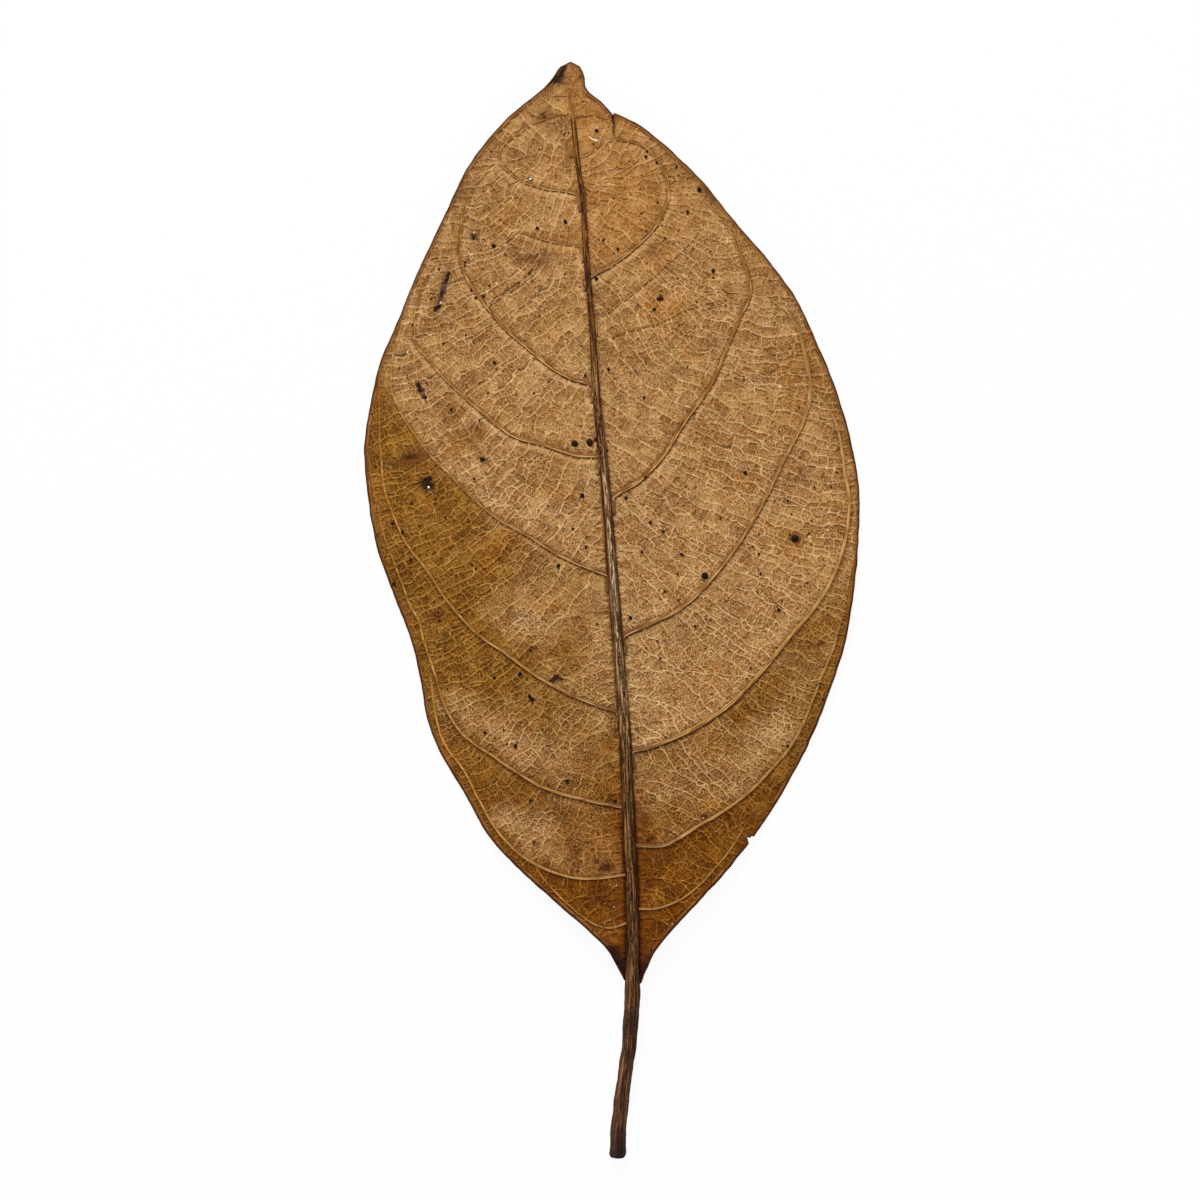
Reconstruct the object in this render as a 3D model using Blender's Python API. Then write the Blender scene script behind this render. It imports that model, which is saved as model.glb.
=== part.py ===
"""A dried jackfruit leaf, lying with its underside up.

The leaf grew in one piece, so it is one solid: a leathery blade with a raised network of
side veins, and a midrib that runs on past the blade as the stalk.

Everything is worked out in a leaf frame in millimetres: +Y runs from the foot of the blade
towards its tip, +X to the right as the leaf lies, +Z up. The finished solid is moved so that
its origin is the middle of its bounding box, on the surface that the leaf lies on.
"""

import math

import bpy
import numpy as np
from mathutils import Vector
from mathutils.geometry import delaunay_2d_cdt

MM = 0.001

# ---------------------------------------------------------------- driving dimensions, mm

BLADE_LENGTH = 147.4
BLADE_THICKNESS = 0.4

# The margin from the foot of the blade, up the left side and over the tip, to the tear.
MARGIN_LEFT = [
    (-1.1, 0.2), (-3.8, 5.0), (-5.6, 7.0), (-11.5, 12.2), (-17.9, 17.9), (-22.7, 23.0),
    (-27.0, 30.4), (-30.6, 36.3), (-32.8, 41.9), (-33.9, 48.3), (-35.4, 54.7), (-38.1, 61.9),
    (-40.8, 69.6), (-42.2, 77.1), (-42.9, 85.6), (-41.9, 92.8), (-40.3, 99.7), (-37.9, 105.1),
    (-35.0, 112.3), (-32.0, 118.7), (-29.3, 124.2), (-27.2, 128.8), (-24.3, 133.3),
    (-19.8, 138.4), (-15.4, 142.1), (-13.0, 144.3), (-11.4, 146.6), (-9.9, 147.4),
    (-8.5, 146.7), (-7.8, 145.0), (-7.7, 143.6), (-6.9, 142.4), (-5.1, 141.1), (-3.2, 139.0),
]
# A short dry tear that runs in from the margin, down one lip and up the other.
TEAR = [(-3.2, 139.0), (-2.75, 136.4), (-2.9, 133.8), (-2.4, 136.4), (-2.75, 138.9)]
# The margin from the tear down the right side to a nibbled notch, and from there to the foot.
MARGIN_RIGHT = [
    (-2.75, 138.9), (-1.1, 138.4), (1.3, 137.1), (4.8, 134.4), (10.9, 128.6), (16.6, 121.6),
    (22.1, 115.2), (26.4, 109.1), (29.6, 102.4), (32.3, 96.0), (34.7, 88.3), (36.3, 80.0),
    (36.3, 71.5), (35.5, 62.7), (34.2, 54.7), (31.7, 46.7), (28.2, 37.9), (23.5, 29.1),
    (19.5, 23.2),
]
NOTCH = [(19.5, 23.2), (18.6, 23.2), (18.0, 22.6), (18.7, 22.1)]
MARGIN_FOOT = [(18.7, 22.1), (14.1, 16.6), (7.7, 9.8), (3.7, 5.0), (2.4, 2.4), (1.3, -0.3)]

# The midrib's line in plan from the foot of the blade to its tip, and the stalk's below it.
MIDRIB = [
    (0.0, 0.0), (0.0, 13.1), (-0.5, 25.9), (-1.0, 38.7), (-1.5, 45.1), (-2.3, 54.7),
    (-3.2, 67.5), (-4.2, 80.3), (-5.4, 93.1), (-6.3, 105.9), (-7.4, 118.7), (-7.8, 125.1),
    (-8.8, 131.5), (-9.4, 137.9), (-10.2, 142.6),
]
STALK = [
    (-2.3, -28.1), (-2.1, -23.7), (-1.6, -18.9), (-1.0, -14.1), (-0.5, -10.9), (-0.3, -7.7),
    (0.0, -2.9), (0.0, 0.0),
]
MIDRIB_FOOT_RADIUS = 1.1
MIDRIB_TIP_RADIUS = 0.3
MIDRIB_PROUD = 0.45  # how much of its radius the midrib's axis stands above the blade
STALK_SWELL = 0.05  # how much the stalk's radius grows to where its cut end flares
STALK_FLARE = 0.2  # and how much more at the cut end itself
FLARE_START = 0.88  # share of the stalk's length where that flare starts
STALK_DROOP = 1.4  # how late the stalk comes down to the surface

# Side veins, each from the midrib outwards, that arch towards the tip and fade at the margin.
VEINS_LEFT = [
    [(-1.2, 9.3), (-4.5, 8.7), (-7.4, 9.6), (-11.8, 13.8), (-15.2, 17.4)],
    [(-1.2, 17.2), (-6.6, 16.4), (-12.0, 17.3), (-17.0, 19.9), (-21.9, 24.3), (-25.1, 29.8)],
    [(-1.7, 28.0), (-7.2, 29.0), (-15.2, 31.8), (-22.6, 36.4), (-28.6, 41.6), (-31.7, 49.4)],
    [(-2.2, 43.7), (-7.6, 45.2), (-15.4, 49.4), (-24.4, 55.5), (-30.7, 63.2), (-35.4, 69.9),
     (-38.6, 77.5), (-40.0, 81.3)],
    [(-3.7, 65.0), (-10.0, 67.5), (-16.6, 71.4), (-24.6, 77.1), (-31.8, 83.8), (-37.0, 90.9),
     (-38.8, 98.2)],
    [(-5.0, 83.7), (-10.9, 84.6), (-18.4, 87.0), (-25.8, 92.4), (-31.6, 97.9), (-35.0, 103.4),
     (-34.8, 109.0)],
    [(-6.0, 95.3), (-11.4, 97.0), (-17.5, 101.6), (-23.6, 107.8), (-27.4, 113.6),
     (-27.8, 120.0)],
    [(-7.4, 117.5), (-13.0, 118.6), (-18.6, 121.0), (-22.6, 124.3)],
    [(-8.0, 125.6), (-14.4, 127.2), (-19.4, 129.8), (-21.3, 132.0)],
]
VEINS_RIGHT = [
    [(1.0, 11.7), (4.0, 11.6), (7.6, 13.0), (11.6, 16.3)],
    [(0.9, 21.8), (5.3, 21.9), (11.7, 25.2), (18.6, 29.8), (23.7, 35.6), (27.3, 41.2)],
    [(0.0, 36.7), (5.8, 38.7), (12.5, 42.3), (18.1, 46.7), (25.3, 55.0), (31.0, 63.5),
     (34.5, 71.5), (34.6, 79.4)],
    [(-1.6, 55.1), (5.8, 59.0), (11.7, 63.5), (17.0, 70.2), (21.4, 77.8), (25.4, 86.0),
     (28.5, 92.6), (28.3, 99.5), (26.8, 104.4)],
    [(-3.1, 77.3), (1.3, 80.3), (5.0, 84.3), (9.7, 91.3), (14.1, 98.6), (17.0, 105.2),
     (18.8, 111.5), (17.2, 117.6)],
    [(-5.7, 106.0), (-1.0, 109.8), (4.2, 113.6), (10.4, 119.2), (13.0, 123.8)],
    [(-6.4, 113.2), (-1.1, 116.2), (3.2, 120.2), (5.7, 126.2), (4.9, 131.0)],
    [(-8.3, 132.0), (-5.1, 133.8), (-2.2, 132.6), (1.2, 132.8)],
]
VEIN_FOOT_HALF_WIDTH = 0.62
VEIN_TIP_HALF_WIDTH = 0.38
VEIN_FOOT_HEIGHT = 0.5
VEIN_TIP_HEIGHT = 0.22

# How the blade lies: arched along the midrib, drooping to the margins, which touch the
# surface in two places on each side.
ARCH_LOW = 1.5
ARCH_RISE = 3.6
ARCH_START = -24.0
ARCH_END = 156.0
MARGIN_REST = 0.45
MARGIN_LIFT = 1.5
LEFT_TOUCH, LEFT_WAVE = 40.0, 60.0
RIGHT_TOUCH, RIGHT_WAVE = 27.0, 58.0
FULL_DROOP_REACH = 24.0  # half width at which a margin droops all the way
ROOF_SHARE = 0.35  # how much of the droop is a straight roof, the rest being a curve
PANEL_SAG = 0.45  # how far the blade sinks between two side veins
PANEL_REACH = 3.6

MARGIN_STEP = 2.2
VEIN_STEP = 3.2
PLAN_STEP = 4.2
PLAN_CLEAR = 1.5
RIB_STEP = 3.2
RIB_SIDES = 10

LEAF_COLOUR = (0.36, 0.20, 0.075, 1.0)


# ---------------------------------------------------------------- curves in plan


def smooth_path(points, step):
    """Points about a step apart on a smooth curve (centripetal Catmull-Rom) through these."""
    knots = np.asarray(points, float)
    ends = np.vstack([2 * knots[0] - knots[1], knots, 2 * knots[-1] - knots[-2]])
    path = [knots[0]]
    for p0, p1, p2, p3 in zip(ends, ends[1:], ends[2:], ends[3:]):
        t1 = math.sqrt(np.linalg.norm(p1 - p0))
        t2 = t1 + math.sqrt(np.linalg.norm(p2 - p1))
        t3 = t2 + math.sqrt(np.linalg.norm(p3 - p2))
        count = max(1, round(np.linalg.norm(p2 - p1) / step))
        for t in np.linspace(t1, t2, count + 1)[1:]:
            a1 = (p0 * (t1 - t) + p1 * t) / t1
            a2 = (p1 * (t2 - t) + p2 * (t - t1)) / (t2 - t1)
            a3 = (p2 * (t3 - t) + p3 * (t - t2)) / (t3 - t2)
            b1 = (a1 * (t2 - t) + a2 * t) / t2
            b2 = (a2 * (t3 - t) + a3 * (t - t1)) / (t3 - t1)
            path.append((b1 * (t2 - t) + b2 * (t - t1)) / (t2 - t1))
    return np.array(path)


def outline(step):
    """The blade's margin as one closed loop, with sharp corners only at the tear and notch."""
    runs = [
        smooth_path(MARGIN_LEFT, step),
        np.array(TEAR),
        smooth_path(MARGIN_RIGHT, step),
        np.array(NOTCH),
        smooth_path(MARGIN_FOOT, step),
    ]
    return np.vstack([runs[0]] + [run[1:] for run in runs[1:]])


def side_lines(path, half_widths):
    """The lines that run beside a path at these distances on its left and right."""
    along = np.gradient(path, axis=0)
    along /= np.linalg.norm(along, axis=1)[:, None]
    across = np.column_stack([-along[:, 1], along[:, 0]]) * half_widths[:, None]
    return path + across, path - across


def nearest(points, paths):
    """For each point, its distance to the nearest path and how far along that path it lies."""
    distance = np.full(len(points), np.inf)
    share = np.zeros(len(points))
    for path in paths:
        start, reach = path[:-1], np.diff(path, axis=0)
        offset = points[:, None] - start
        t = np.clip((offset * reach).sum(2) / (reach * reach).sum(1), 0, 1)
        gap = np.linalg.norm(offset - t[..., None] * reach, axis=2)
        best = gap.argmin(1)
        rows = np.arange(len(points))
        closer = gap[rows, best] < distance
        distance[closer] = gap[rows, best][closer]
        share[closer] = ((best + t[rows, best]) / len(reach))[closer]
    return distance, share


# ---------------------------------------------------------------- how the blade lies


def midrib_height(y):
    """Height of the blade's upper face along the midrib."""
    return ARCH_LOW + ARCH_RISE * np.sin(math.pi * (y - ARCH_START) / (ARCH_END - ARCH_START))


def wave(y, touch, length):
    """A margin's height, which is lowest at touch and every wave length from there."""
    return MARGIN_REST + MARGIN_LIFT * (0.5 - 0.5 * np.cos(2 * math.pi * (y - touch) / length))


def margin_reach(y, side):
    """The distance from the midrib to the margin on one side (-1 left, 1 right)."""
    margin = MARGIN_LEFT if side < 0 else MARGIN_FOOT[::-1] + MARGIN_RIGHT[::-1]
    edge = np.array([p for p in margin if p[1] < BLADE_LENGTH])
    edge = edge[np.argsort(edge[:, 1])]
    rib = np.array(MIDRIB)
    return np.abs(np.interp(y, edge[:, 1], edge[:, 0]) - np.interp(y, rib[:, 1], rib[:, 0]))


def blade_height(points, veins):
    """Height of the blade's upper face, with its side veins as ridges."""
    x, y = points.T
    rib = np.array(MIDRIB)
    offset = x - np.interp(y, rib[:, 1], rib[:, 0])
    left = offset < 0
    reach = np.where(left, margin_reach(y, -1), margin_reach(y, 1))
    share = np.clip(np.abs(offset) / np.maximum(reach, 1.0), 0, 1.1)
    low = np.where(left, wave(y, LEFT_TOUCH, LEFT_WAVE), wave(y, RIGHT_TOUCH, RIGHT_WAVE))
    droop = (midrib_height(y) - low) * np.clip(reach / FULL_DROOP_REACH, 0, 1) ** 1.5
    lie = midrib_height(y) - droop * (ROOF_SHARE * share + (1 - ROOF_SHARE) * share**2)
    distance, along = nearest(points, veins)
    middle = np.clip(4 * share * (1 - share), 0, 1)
    sag = PANEL_SAG * middle * (1 - np.exp(-((distance / PANEL_REACH) ** 2)))
    half_width = VEIN_FOOT_HALF_WIDTH + (VEIN_TIP_HALF_WIDTH - VEIN_FOOT_HALF_WIDTH) * along
    crest = VEIN_FOOT_HEIGHT + (VEIN_TIP_HEIGHT - VEIN_FOOT_HEIGHT) * along
    ridge = crest * np.clip(1 - distance / half_width, 0, 1)
    return lie - sag + ridge


# ---------------------------------------------------------------- the solid


def blade_plan(veins):
    """The blade triangulated in plan: (points, triangles), with edges on every vein line."""
    margin = outline(MARGIN_STEP)
    points = list(margin)
    edges = []
    for path in [*veins, smooth_path(MIDRIB, RIB_STEP)[:-1]]:
        half = np.linspace(VEIN_FOOT_HALF_WIDTH, VEIN_TIP_HALF_WIDTH, len(path))
        for line in (path, *side_lines(path, half)):
            first = len(points)
            points.extend(line)
            edges.extend((i, i + 1) for i in range(first, len(points) - 1))
    lines = np.array(points)
    low, high = lines.min(0), lines.max(0)
    rows = np.arange(low[1], high[1], PLAN_STEP * math.sqrt(3) / 2)
    fill = []
    for row, y in enumerate(rows):
        start = low[0] + PLAN_STEP * (0.5 if row % 2 else 0.0)
        fill.extend((x, y) for x in np.arange(start, high[0], PLAN_STEP))
    gap, _ = nearest(np.array(fill), [*veins, np.vstack([margin, margin[:1]])])
    points.extend(np.array(fill)[gap > PLAN_CLEAR])
    made, _, faces, *_ = delaunay_2d_cdt(
        [Vector(p) for p in points], edges, [list(range(len(margin)))], 1, 1e-4
    )
    return np.array([tuple(p) for p in made]), faces


def make_blade(veins, material):
    """The blade: a triangulated sheet at its height, thickened downwards by a Solidify."""
    points, faces = blade_plan(veins)
    top = np.column_stack([points, blade_height(points, veins)]) * MM
    sheet = bpy.data.meshes.new("leaf")
    sheet.from_pydata([tuple(v) for v in top], [], faces)
    sheet.materials.append(material)
    blade = bpy.data.objects.new("leaf", sheet)
    bpy.context.scene.collection.objects.link(blade)
    thickness = blade.modifiers.new("blade thickness", "SOLIDIFY")
    thickness.thickness = BLADE_THICKNESS * MM
    thickness.offset = -1.0
    return blade


def make_rib(material):
    """The midrib and stalk: one tapering round rod from the cut end to the blade's tip."""
    line = np.vstack([smooth_path(STALK, RIB_STEP), smooth_path(MIDRIB, RIB_STEP)[1:]])
    up, down = line[:, 1] / MIDRIB[-1][1], line[:, 1] / STALK[0][1]
    radius = np.interp(up, [0, 1], [MIDRIB_FOOT_RADIUS, MIDRIB_TIP_RADIUS])
    radius += np.interp(down, [0, FLARE_START, 1], [0, STALK_SWELL, STALK_SWELL + STALK_FLARE])
    height = midrib_height(line[:, 1]) + MIDRIB_PROUD * radius
    height += (radius[0] - height) * np.clip(down, 0, 1) ** STALK_DROOP
    rod = bpy.data.curves.new("midrib and stalk", "CURVE")
    rod.dimensions = "3D"
    rod.bevel_depth = MM
    rod.bevel_resolution = RIB_SIDES // 2 - 2
    rod.use_fill_caps = True
    spline = rod.splines.new("POLY")
    spline.points.add(len(line) - 1)
    for point, (x, y), z, size in zip(spline.points, line, height, radius):
        point.co = (x * MM, y * MM, z * MM, 1.0)
        point.radius = size
    curve = bpy.data.objects.new("midrib and stalk", rod)
    bpy.context.scene.collection.objects.link(curve)
    mesh = bpy.data.meshes.new_from_object(
        curve.evaluated_get(bpy.context.evaluated_depsgraph_get())
    )
    bpy.data.objects.remove(curve)
    mesh.materials.clear()
    mesh.materials.append(material)
    rib = bpy.data.objects.new("midrib and stalk", mesh)
    bpy.context.scene.collection.objects.link(rib)
    rib.hide_render = True
    rib.display_type = "WIRE"
    return rib


def dry_leaf_material():
    """Tan-brown dry leaf, dull and not metallic."""
    material = bpy.data.materials.new("dry_leaf")
    material.use_nodes = True
    shader = material.node_tree.nodes["Principled BSDF"]
    shader.inputs["Base Color"].default_value = LEAF_COLOUR
    shader.inputs["Roughness"].default_value = 0.7
    shader.inputs["Metallic"].default_value = 0.0
    return material


def grow_together(blade, rib):
    """Joins the midrib and stalk to the blade in one solid."""
    union = blade.modifiers.new("midrib and stalk", "BOOLEAN")
    union.operation = "UNION"
    union.solver = "EXACT"
    union.object = rib


def rest_on_origin(leaf, rib):
    """Moves the leaf so that the middle of its box, at its lowest height, is the origin."""
    solid = leaf.evaluated_get(bpy.context.evaluated_depsgraph_get()).to_mesh()
    corners = np.array([vertex.co for vertex in solid.vertices])
    low, high = corners.min(0), corners.max(0)
    for piece in (leaf, rib):
        piece.location = (-(low[0] + high[0]) / 2, -(low[1] + high[1]) / 2, -low[2])


def main():
    for old in list(bpy.data.objects):
        bpy.data.objects.remove(old)
    veins = [smooth_path(vein, VEIN_STEP) for vein in VEINS_LEFT + VEINS_RIGHT]
    material = dry_leaf_material()
    leaf = make_blade(veins, material)
    rib = make_rib(material)
    leaf.data.shade_smooth()
    grow_together(leaf, rib)
    rest_on_origin(leaf, rib)


main()
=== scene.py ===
"""The looks of a dried jackfruit leaf that lies with its veined underside up.

Each half of the blade is one closed skin. Its net of veins is grown: the side veins follow
their own courses, cross veins run between them, and what is left is halved again and again
down to the smallest meshes. Each mesh of the net is a cell of the skin with a raised rim, so
the net is relief as well as colour.

The shapes are worked out in the leaf's own frame in millimetres: +Y runs from the foot of the
blade to its tip, +X to the right, +Z up. on_leaf() brings them to the CAD leaf in metres.
"""

import math
import random

import bpy
import numpy as np
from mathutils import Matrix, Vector, noise


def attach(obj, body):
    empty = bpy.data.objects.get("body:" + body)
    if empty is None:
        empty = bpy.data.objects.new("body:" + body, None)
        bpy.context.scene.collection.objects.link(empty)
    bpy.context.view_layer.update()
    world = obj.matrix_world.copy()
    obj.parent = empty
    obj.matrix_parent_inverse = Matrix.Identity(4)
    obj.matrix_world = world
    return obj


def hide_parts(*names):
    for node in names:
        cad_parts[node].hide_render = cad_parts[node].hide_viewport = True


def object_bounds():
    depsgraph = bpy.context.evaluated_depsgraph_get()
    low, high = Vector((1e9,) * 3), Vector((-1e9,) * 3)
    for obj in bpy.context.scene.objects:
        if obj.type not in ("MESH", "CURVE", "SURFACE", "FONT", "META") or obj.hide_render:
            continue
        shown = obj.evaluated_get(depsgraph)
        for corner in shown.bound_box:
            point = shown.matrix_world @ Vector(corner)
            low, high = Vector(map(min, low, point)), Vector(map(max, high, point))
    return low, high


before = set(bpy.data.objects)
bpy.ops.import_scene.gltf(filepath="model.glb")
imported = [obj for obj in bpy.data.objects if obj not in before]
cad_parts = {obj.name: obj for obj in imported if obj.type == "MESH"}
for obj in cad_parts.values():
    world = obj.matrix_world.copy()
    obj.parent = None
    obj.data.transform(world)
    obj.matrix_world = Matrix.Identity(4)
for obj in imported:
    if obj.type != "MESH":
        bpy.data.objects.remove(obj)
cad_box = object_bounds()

MM = 0.001
random.seed(7)

# ---------------------------------------------------------------- the leaf's lines, mm

MARGIN_LEFT = [
    (-1.1, 0.2), (-3.8, 5), (-5.6, 7), (-11.5, 12.2), (-17.9, 17.9), (-22.7, 23), (-27, 30.4),
    (-30.6, 36.3), (-32.8, 41.9), (-33.9, 48.3), (-35.4, 54.7), (-38.1, 61.9), (-40.8, 69.6),
    (-42.2, 77.1), (-42.9, 85.6), (-41.9, 92.8), (-40.3, 99.7), (-37.9, 105.1), (-35, 112.3),
    (-32, 118.7), (-29.3, 124.2), (-27.2, 128.8), (-24.3, 133.3), (-19.8, 138.4), (-15.4, 142.1),
    (-13, 144.3), (-11.4, 146.6), (-9.9, 147.4),
]
MARGIN_TIP = [
    (-9.9, 147.4), (-8.5, 146.7), (-7.8, 145), (-7.7, 143.6), (-6.9, 142.4), (-5.1, 141.1),
    (-3.3, 139), (-3.05, 138.75),
]
TEAR = [(-3.02, 138.7), (-3.2, 137.9), (-2.8, 137.1), (-2.95, 136.2), (-2.9, 135.8)]
MARGIN_RIGHT = [
    (-2.9, 139.15), (-1.1, 138.4), (1.3, 137.1), (4.8, 134.4), (10.9, 128.6), (16.6, 121.6),
    (22.1, 115.2), (26.4, 109.1), (29.6, 102.4), (32.3, 96), (34.7, 88.3), (36.3, 80), (36.3, 71.5),
    (35.5, 62.7), (34.2, 54.7), (31.7, 46.7), (28.2, 37.9), (23.5, 29.1), (19.5, 23.2),
]
NOTCH = [
    (19.5, 23.2), (19.15, 23.35), (18.95, 23), (18.6, 23.15), (18.35, 22.8), (18, 22.62),
    (18.35, 22.55), (18.55, 22.65), (18.5, 22.3), (18.7, 22.1),
]
MARGIN_FOOT = [(18.7, 22.1), (14.1, 16.6), (7.7, 9.8), (3.7, 5), (2.4, 2.4), (1.3, -0.3)]

MIDRIB = [
    (0, 0), (0, 13.1), (-0.6, 25.9), (-1.1, 38.7), (-1.55, 45.1), (-2.35, 54.7), (-3.3, 67.5),
    (-4.35, 80.3), (-5.6, 93.1), (-6.5, 105.9), (-7.5, 118.7), (-7.85, 125.1), (-8.8, 131.5),
    (-9.4, 137.9), (-10.2, 142.6),
]
STALK = [
    (-2.35, -28.5), (-2.1, -23.7), (-1.6, -18.9), (-1, -14.1), (-0.5, -10.9), (-0.3, -7.7),
    (0, -2.9), (0, 0),
]

# Side veins from the midrib outwards, in the order in which they take their room: each one
# ends on the margin or on one named before it. Each has its half width at its foot and where
# it grows faint, and how many of its last points are faint.
SIDE_VEINS = {
    "left": [
        (0.32, 0.2, 3, [
            (-8.5, 125.8), (-10.7, 126.6), (-13.4, 126.9), (-15.5, 127.5), (-17.9, 128.3),
            (-19.5, 129.6), (-21.1, 131), (-21.4, 132), (-21, 133.4), (-19.8, 134.7),
            (-18.2, 135.8), (-16.6, 137), (-13.4, 138.4), (-9.4, 139.4),
        ]),
        (0.46, 0.28, 3, [
            (-6.1, 95.2), (-9.6, 96.5), (-13.1, 98.4), (-16.3, 101.1), (-20.3, 104.6),
            (-23.8, 108.8), (-26.7, 113.1), (-27.8, 116.3), (-27.7, 118.6), (-26.9, 123.2),
            (-25.4, 127), (-23, 130.2), (-21.3, 131.5),
        ]),
        (0.26, 0.16, 2, [
            (-8.3, 117.6), (-11.5, 118.2), (-16.3, 119.5), (-21.1, 122.2), (-23, 124.3),
            (-25.3, 127),
        ]),
        (0.5, 0.26, 4, [
            (-5, 83.8), (-9.1, 84.3), (-13.9, 85.9), (-18.7, 87.2), (-21.9, 89.4), (-25.9, 92.8),
            (-29.9, 96.6), (-32.8, 99.8), (-34.9, 102.6), (-35, 105.1), (-34.7, 107.5),
            (-33.9, 110.7), (-32, 114.2), (-29.9, 115.4), (-27.5, 116.2),
        ]),
        (0.4, 0.2, 3, [
            (-3.8, 64.8), (-6.7, 66.1), (-11.5, 68.2), (-16.3, 71.2), (-21.1, 73.9), (-24.6, 76.6),
            (-28.3, 80.3), (-32.3, 84.3), (-34.7, 87.5), (-37.1, 91.2), (-38.6, 95), (-38.7, 99.2),
            (-38.2, 101.9), (-37.1, 105.1), (-36.5, 107.8),
        ]),
        (0.33, 0.17, 3, [
            (-2.4, 43.1), (-5.1, 44.1), (-9.9, 46), (-15.5, 49.1), (-20.3, 52.6), (-24.6, 55.5),
            (-29.6, 60.9), (-33.1, 66.2), (-36.3, 70.4), (-38.4, 75), (-39.8, 79.2), (-40.3, 84.3),
            (-40.6, 88.3), (-40.6, 93.1),
        ]),
        (0.3, 0.2, 5, [
            (-1.2, 27.9), (-7, 29), (-13.9, 30.9), (-17.9, 33.1), (-22.7, 36.3), (-27.2, 39.5),
            (-30.2, 44.3), (-31.8, 49.6), (-33.6, 55), (-34.2, 57.6), (-35.5, 60), (-37.6, 65.6),
            (-39.8, 71.5), (-40.8, 76.3),
        ]),
        (0.25, 0.2, 2, [
            (-0.8, 17.2), (-5.1, 16.6), (-8.3, 16.5), (-11.5, 17.1), (-17.1, 19.7), (-21.9, 24.3),
            (-24.8, 29.4), (-27, 33.6), (-29.6, 37.1), (-30.6, 39), (-31.6, 42.6), (-32.3, 48.3),
        ]),
        (0.2, 0.1, 2, [
            (-0.9, 9.4), (-3.5, 8.6), (-5.6, 9), (-7.5, 10.1), (-12.2, 14.2), (-15, 17.6),
            (-16, 19.5),
        ]),
    ],
    "right": [
        (0.42, 0.32, 4, [
            (-6.1, 113.1), (-3.5, 114.6), (-1.1, 116.3), (3.2, 120.3), (5.4, 124.3), (5.8, 126.2),
            (5.6, 128.4), (4.3, 131.4), (1.7, 134), (-0.9, 134.8), (-3, 135), (-4.6, 134.2),
            (-6.4, 133.1), (-8.6, 132),
        ]),
        (0.24, 0.15, 2, [
            (-5.8, 105.9), (-3.5, 107.5), (-0.3, 109.9), (4.2, 113.6), (8.2, 117.3), (10.4, 119.8),
            (12.4, 123.3), (12.9, 124.4),
        ]),
        (0.52, 0.34, 3, [
            (-3.2, 77.3), (1.3, 80.3), (5, 84.3), (8, 89.1), (12.8, 96), (15, 101.1), (17, 105.9),
            (18.9, 110.2), (18.7, 112.6), (17.3, 116.8), (15.7, 120.3), (14.1, 122.7),
            (12.2, 124.5),
        ]),
        (0.15, 0.1, 2, [
            (-5.6, 102.2), (-3.2, 103.2), (-0.6, 104.2), (4, 105.3), (8.3, 107.4), (11.7, 108.5),
            (18.6, 109.8),
        ]),
        (0.5, 0.32, 3, [
            (-1.6, 55), (2.9, 57.4), (7.7, 59.8), (11.7, 63.5), (17, 70.2), (21.4, 77.6), (24, 83),
            (27.7, 90.4), (28.6, 94.7), (28, 99.5), (26.4, 105.1), (25, 107.2), (22.4, 109.1),
            (18.9, 110.7),
        ]),
        (0.45, 0.26, 4, [
            (0, 36.8), (2.9, 37.6), (9.3, 40.3), (15.4, 44.2), (20.5, 49.4), (25.3, 55.2),
            (29.8, 60.6), (32.6, 65.6), (34.4, 71.5), (34.9, 77.4), (34.2, 81.6), (33.9, 84.3),
            (33.3, 87.5), (32.3, 90.7), (28.5, 95.4),
        ]),
        (0.34, 0.2, 3, [
            (0.5, 21.8), (5.3, 21.9), (10.1, 24.6), (14.9, 27.4), (18.6, 30.1), (22.1, 33.6),
            (25.3, 37.4), (27.4, 41.1), (29.4, 46.2), (30.7, 49.6), (32.2, 53.1), (33.3, 57.1),
            (34.2, 61.1),
        ]),
        (0.2, 0.12, 2, [
            (0.9, 11.7), (3.7, 11.7), (7.7, 13.1), (10.9, 15.5), (13.3, 18.2), (15.2, 20.3),
            (17, 23), (18.2, 25),
        ]),
    ],
}

# How ochre the tissue is between side veins, each named by a spot in it: 0 tan, 1 ochre.
OCHRE_PANELS = {
    "left": [
        ((-3, 136), 0.1), ((-20, 136), 0.15), ((-14, 130), 0.05), ((-18, 116), 0.05),
        ((-14, 90), 0.03), ((-20, 80), 0.08), ((-20, 62), 0.5), ((-18, 42), 0.72), ((-14, 24), 0.6),
        ((-6, 12), 0.95), ((-3, 5), 1), ((-41, 80), 0.5), ((-36.2, 56), 0.85), ((-33, 44), 0.7),
    ],
    "right": [
        ((-5, 140), 0.2), ((0, 128), 0.1), ((2, 114), 0.05), ((10, 112), 0.05), ((0, 92), 0),
        ((15, 85), 0), ((15, 60), 0), ((15, 36), 0.38), ((12, 20), 0.95), ((5, 8), 1),
        ((22, 30), 0.95), ((35.4, 66), 0.5), ((20, 116), 0.1),
    ],
}

# ---------------------------------------------------------------- sizes, mm

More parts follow.
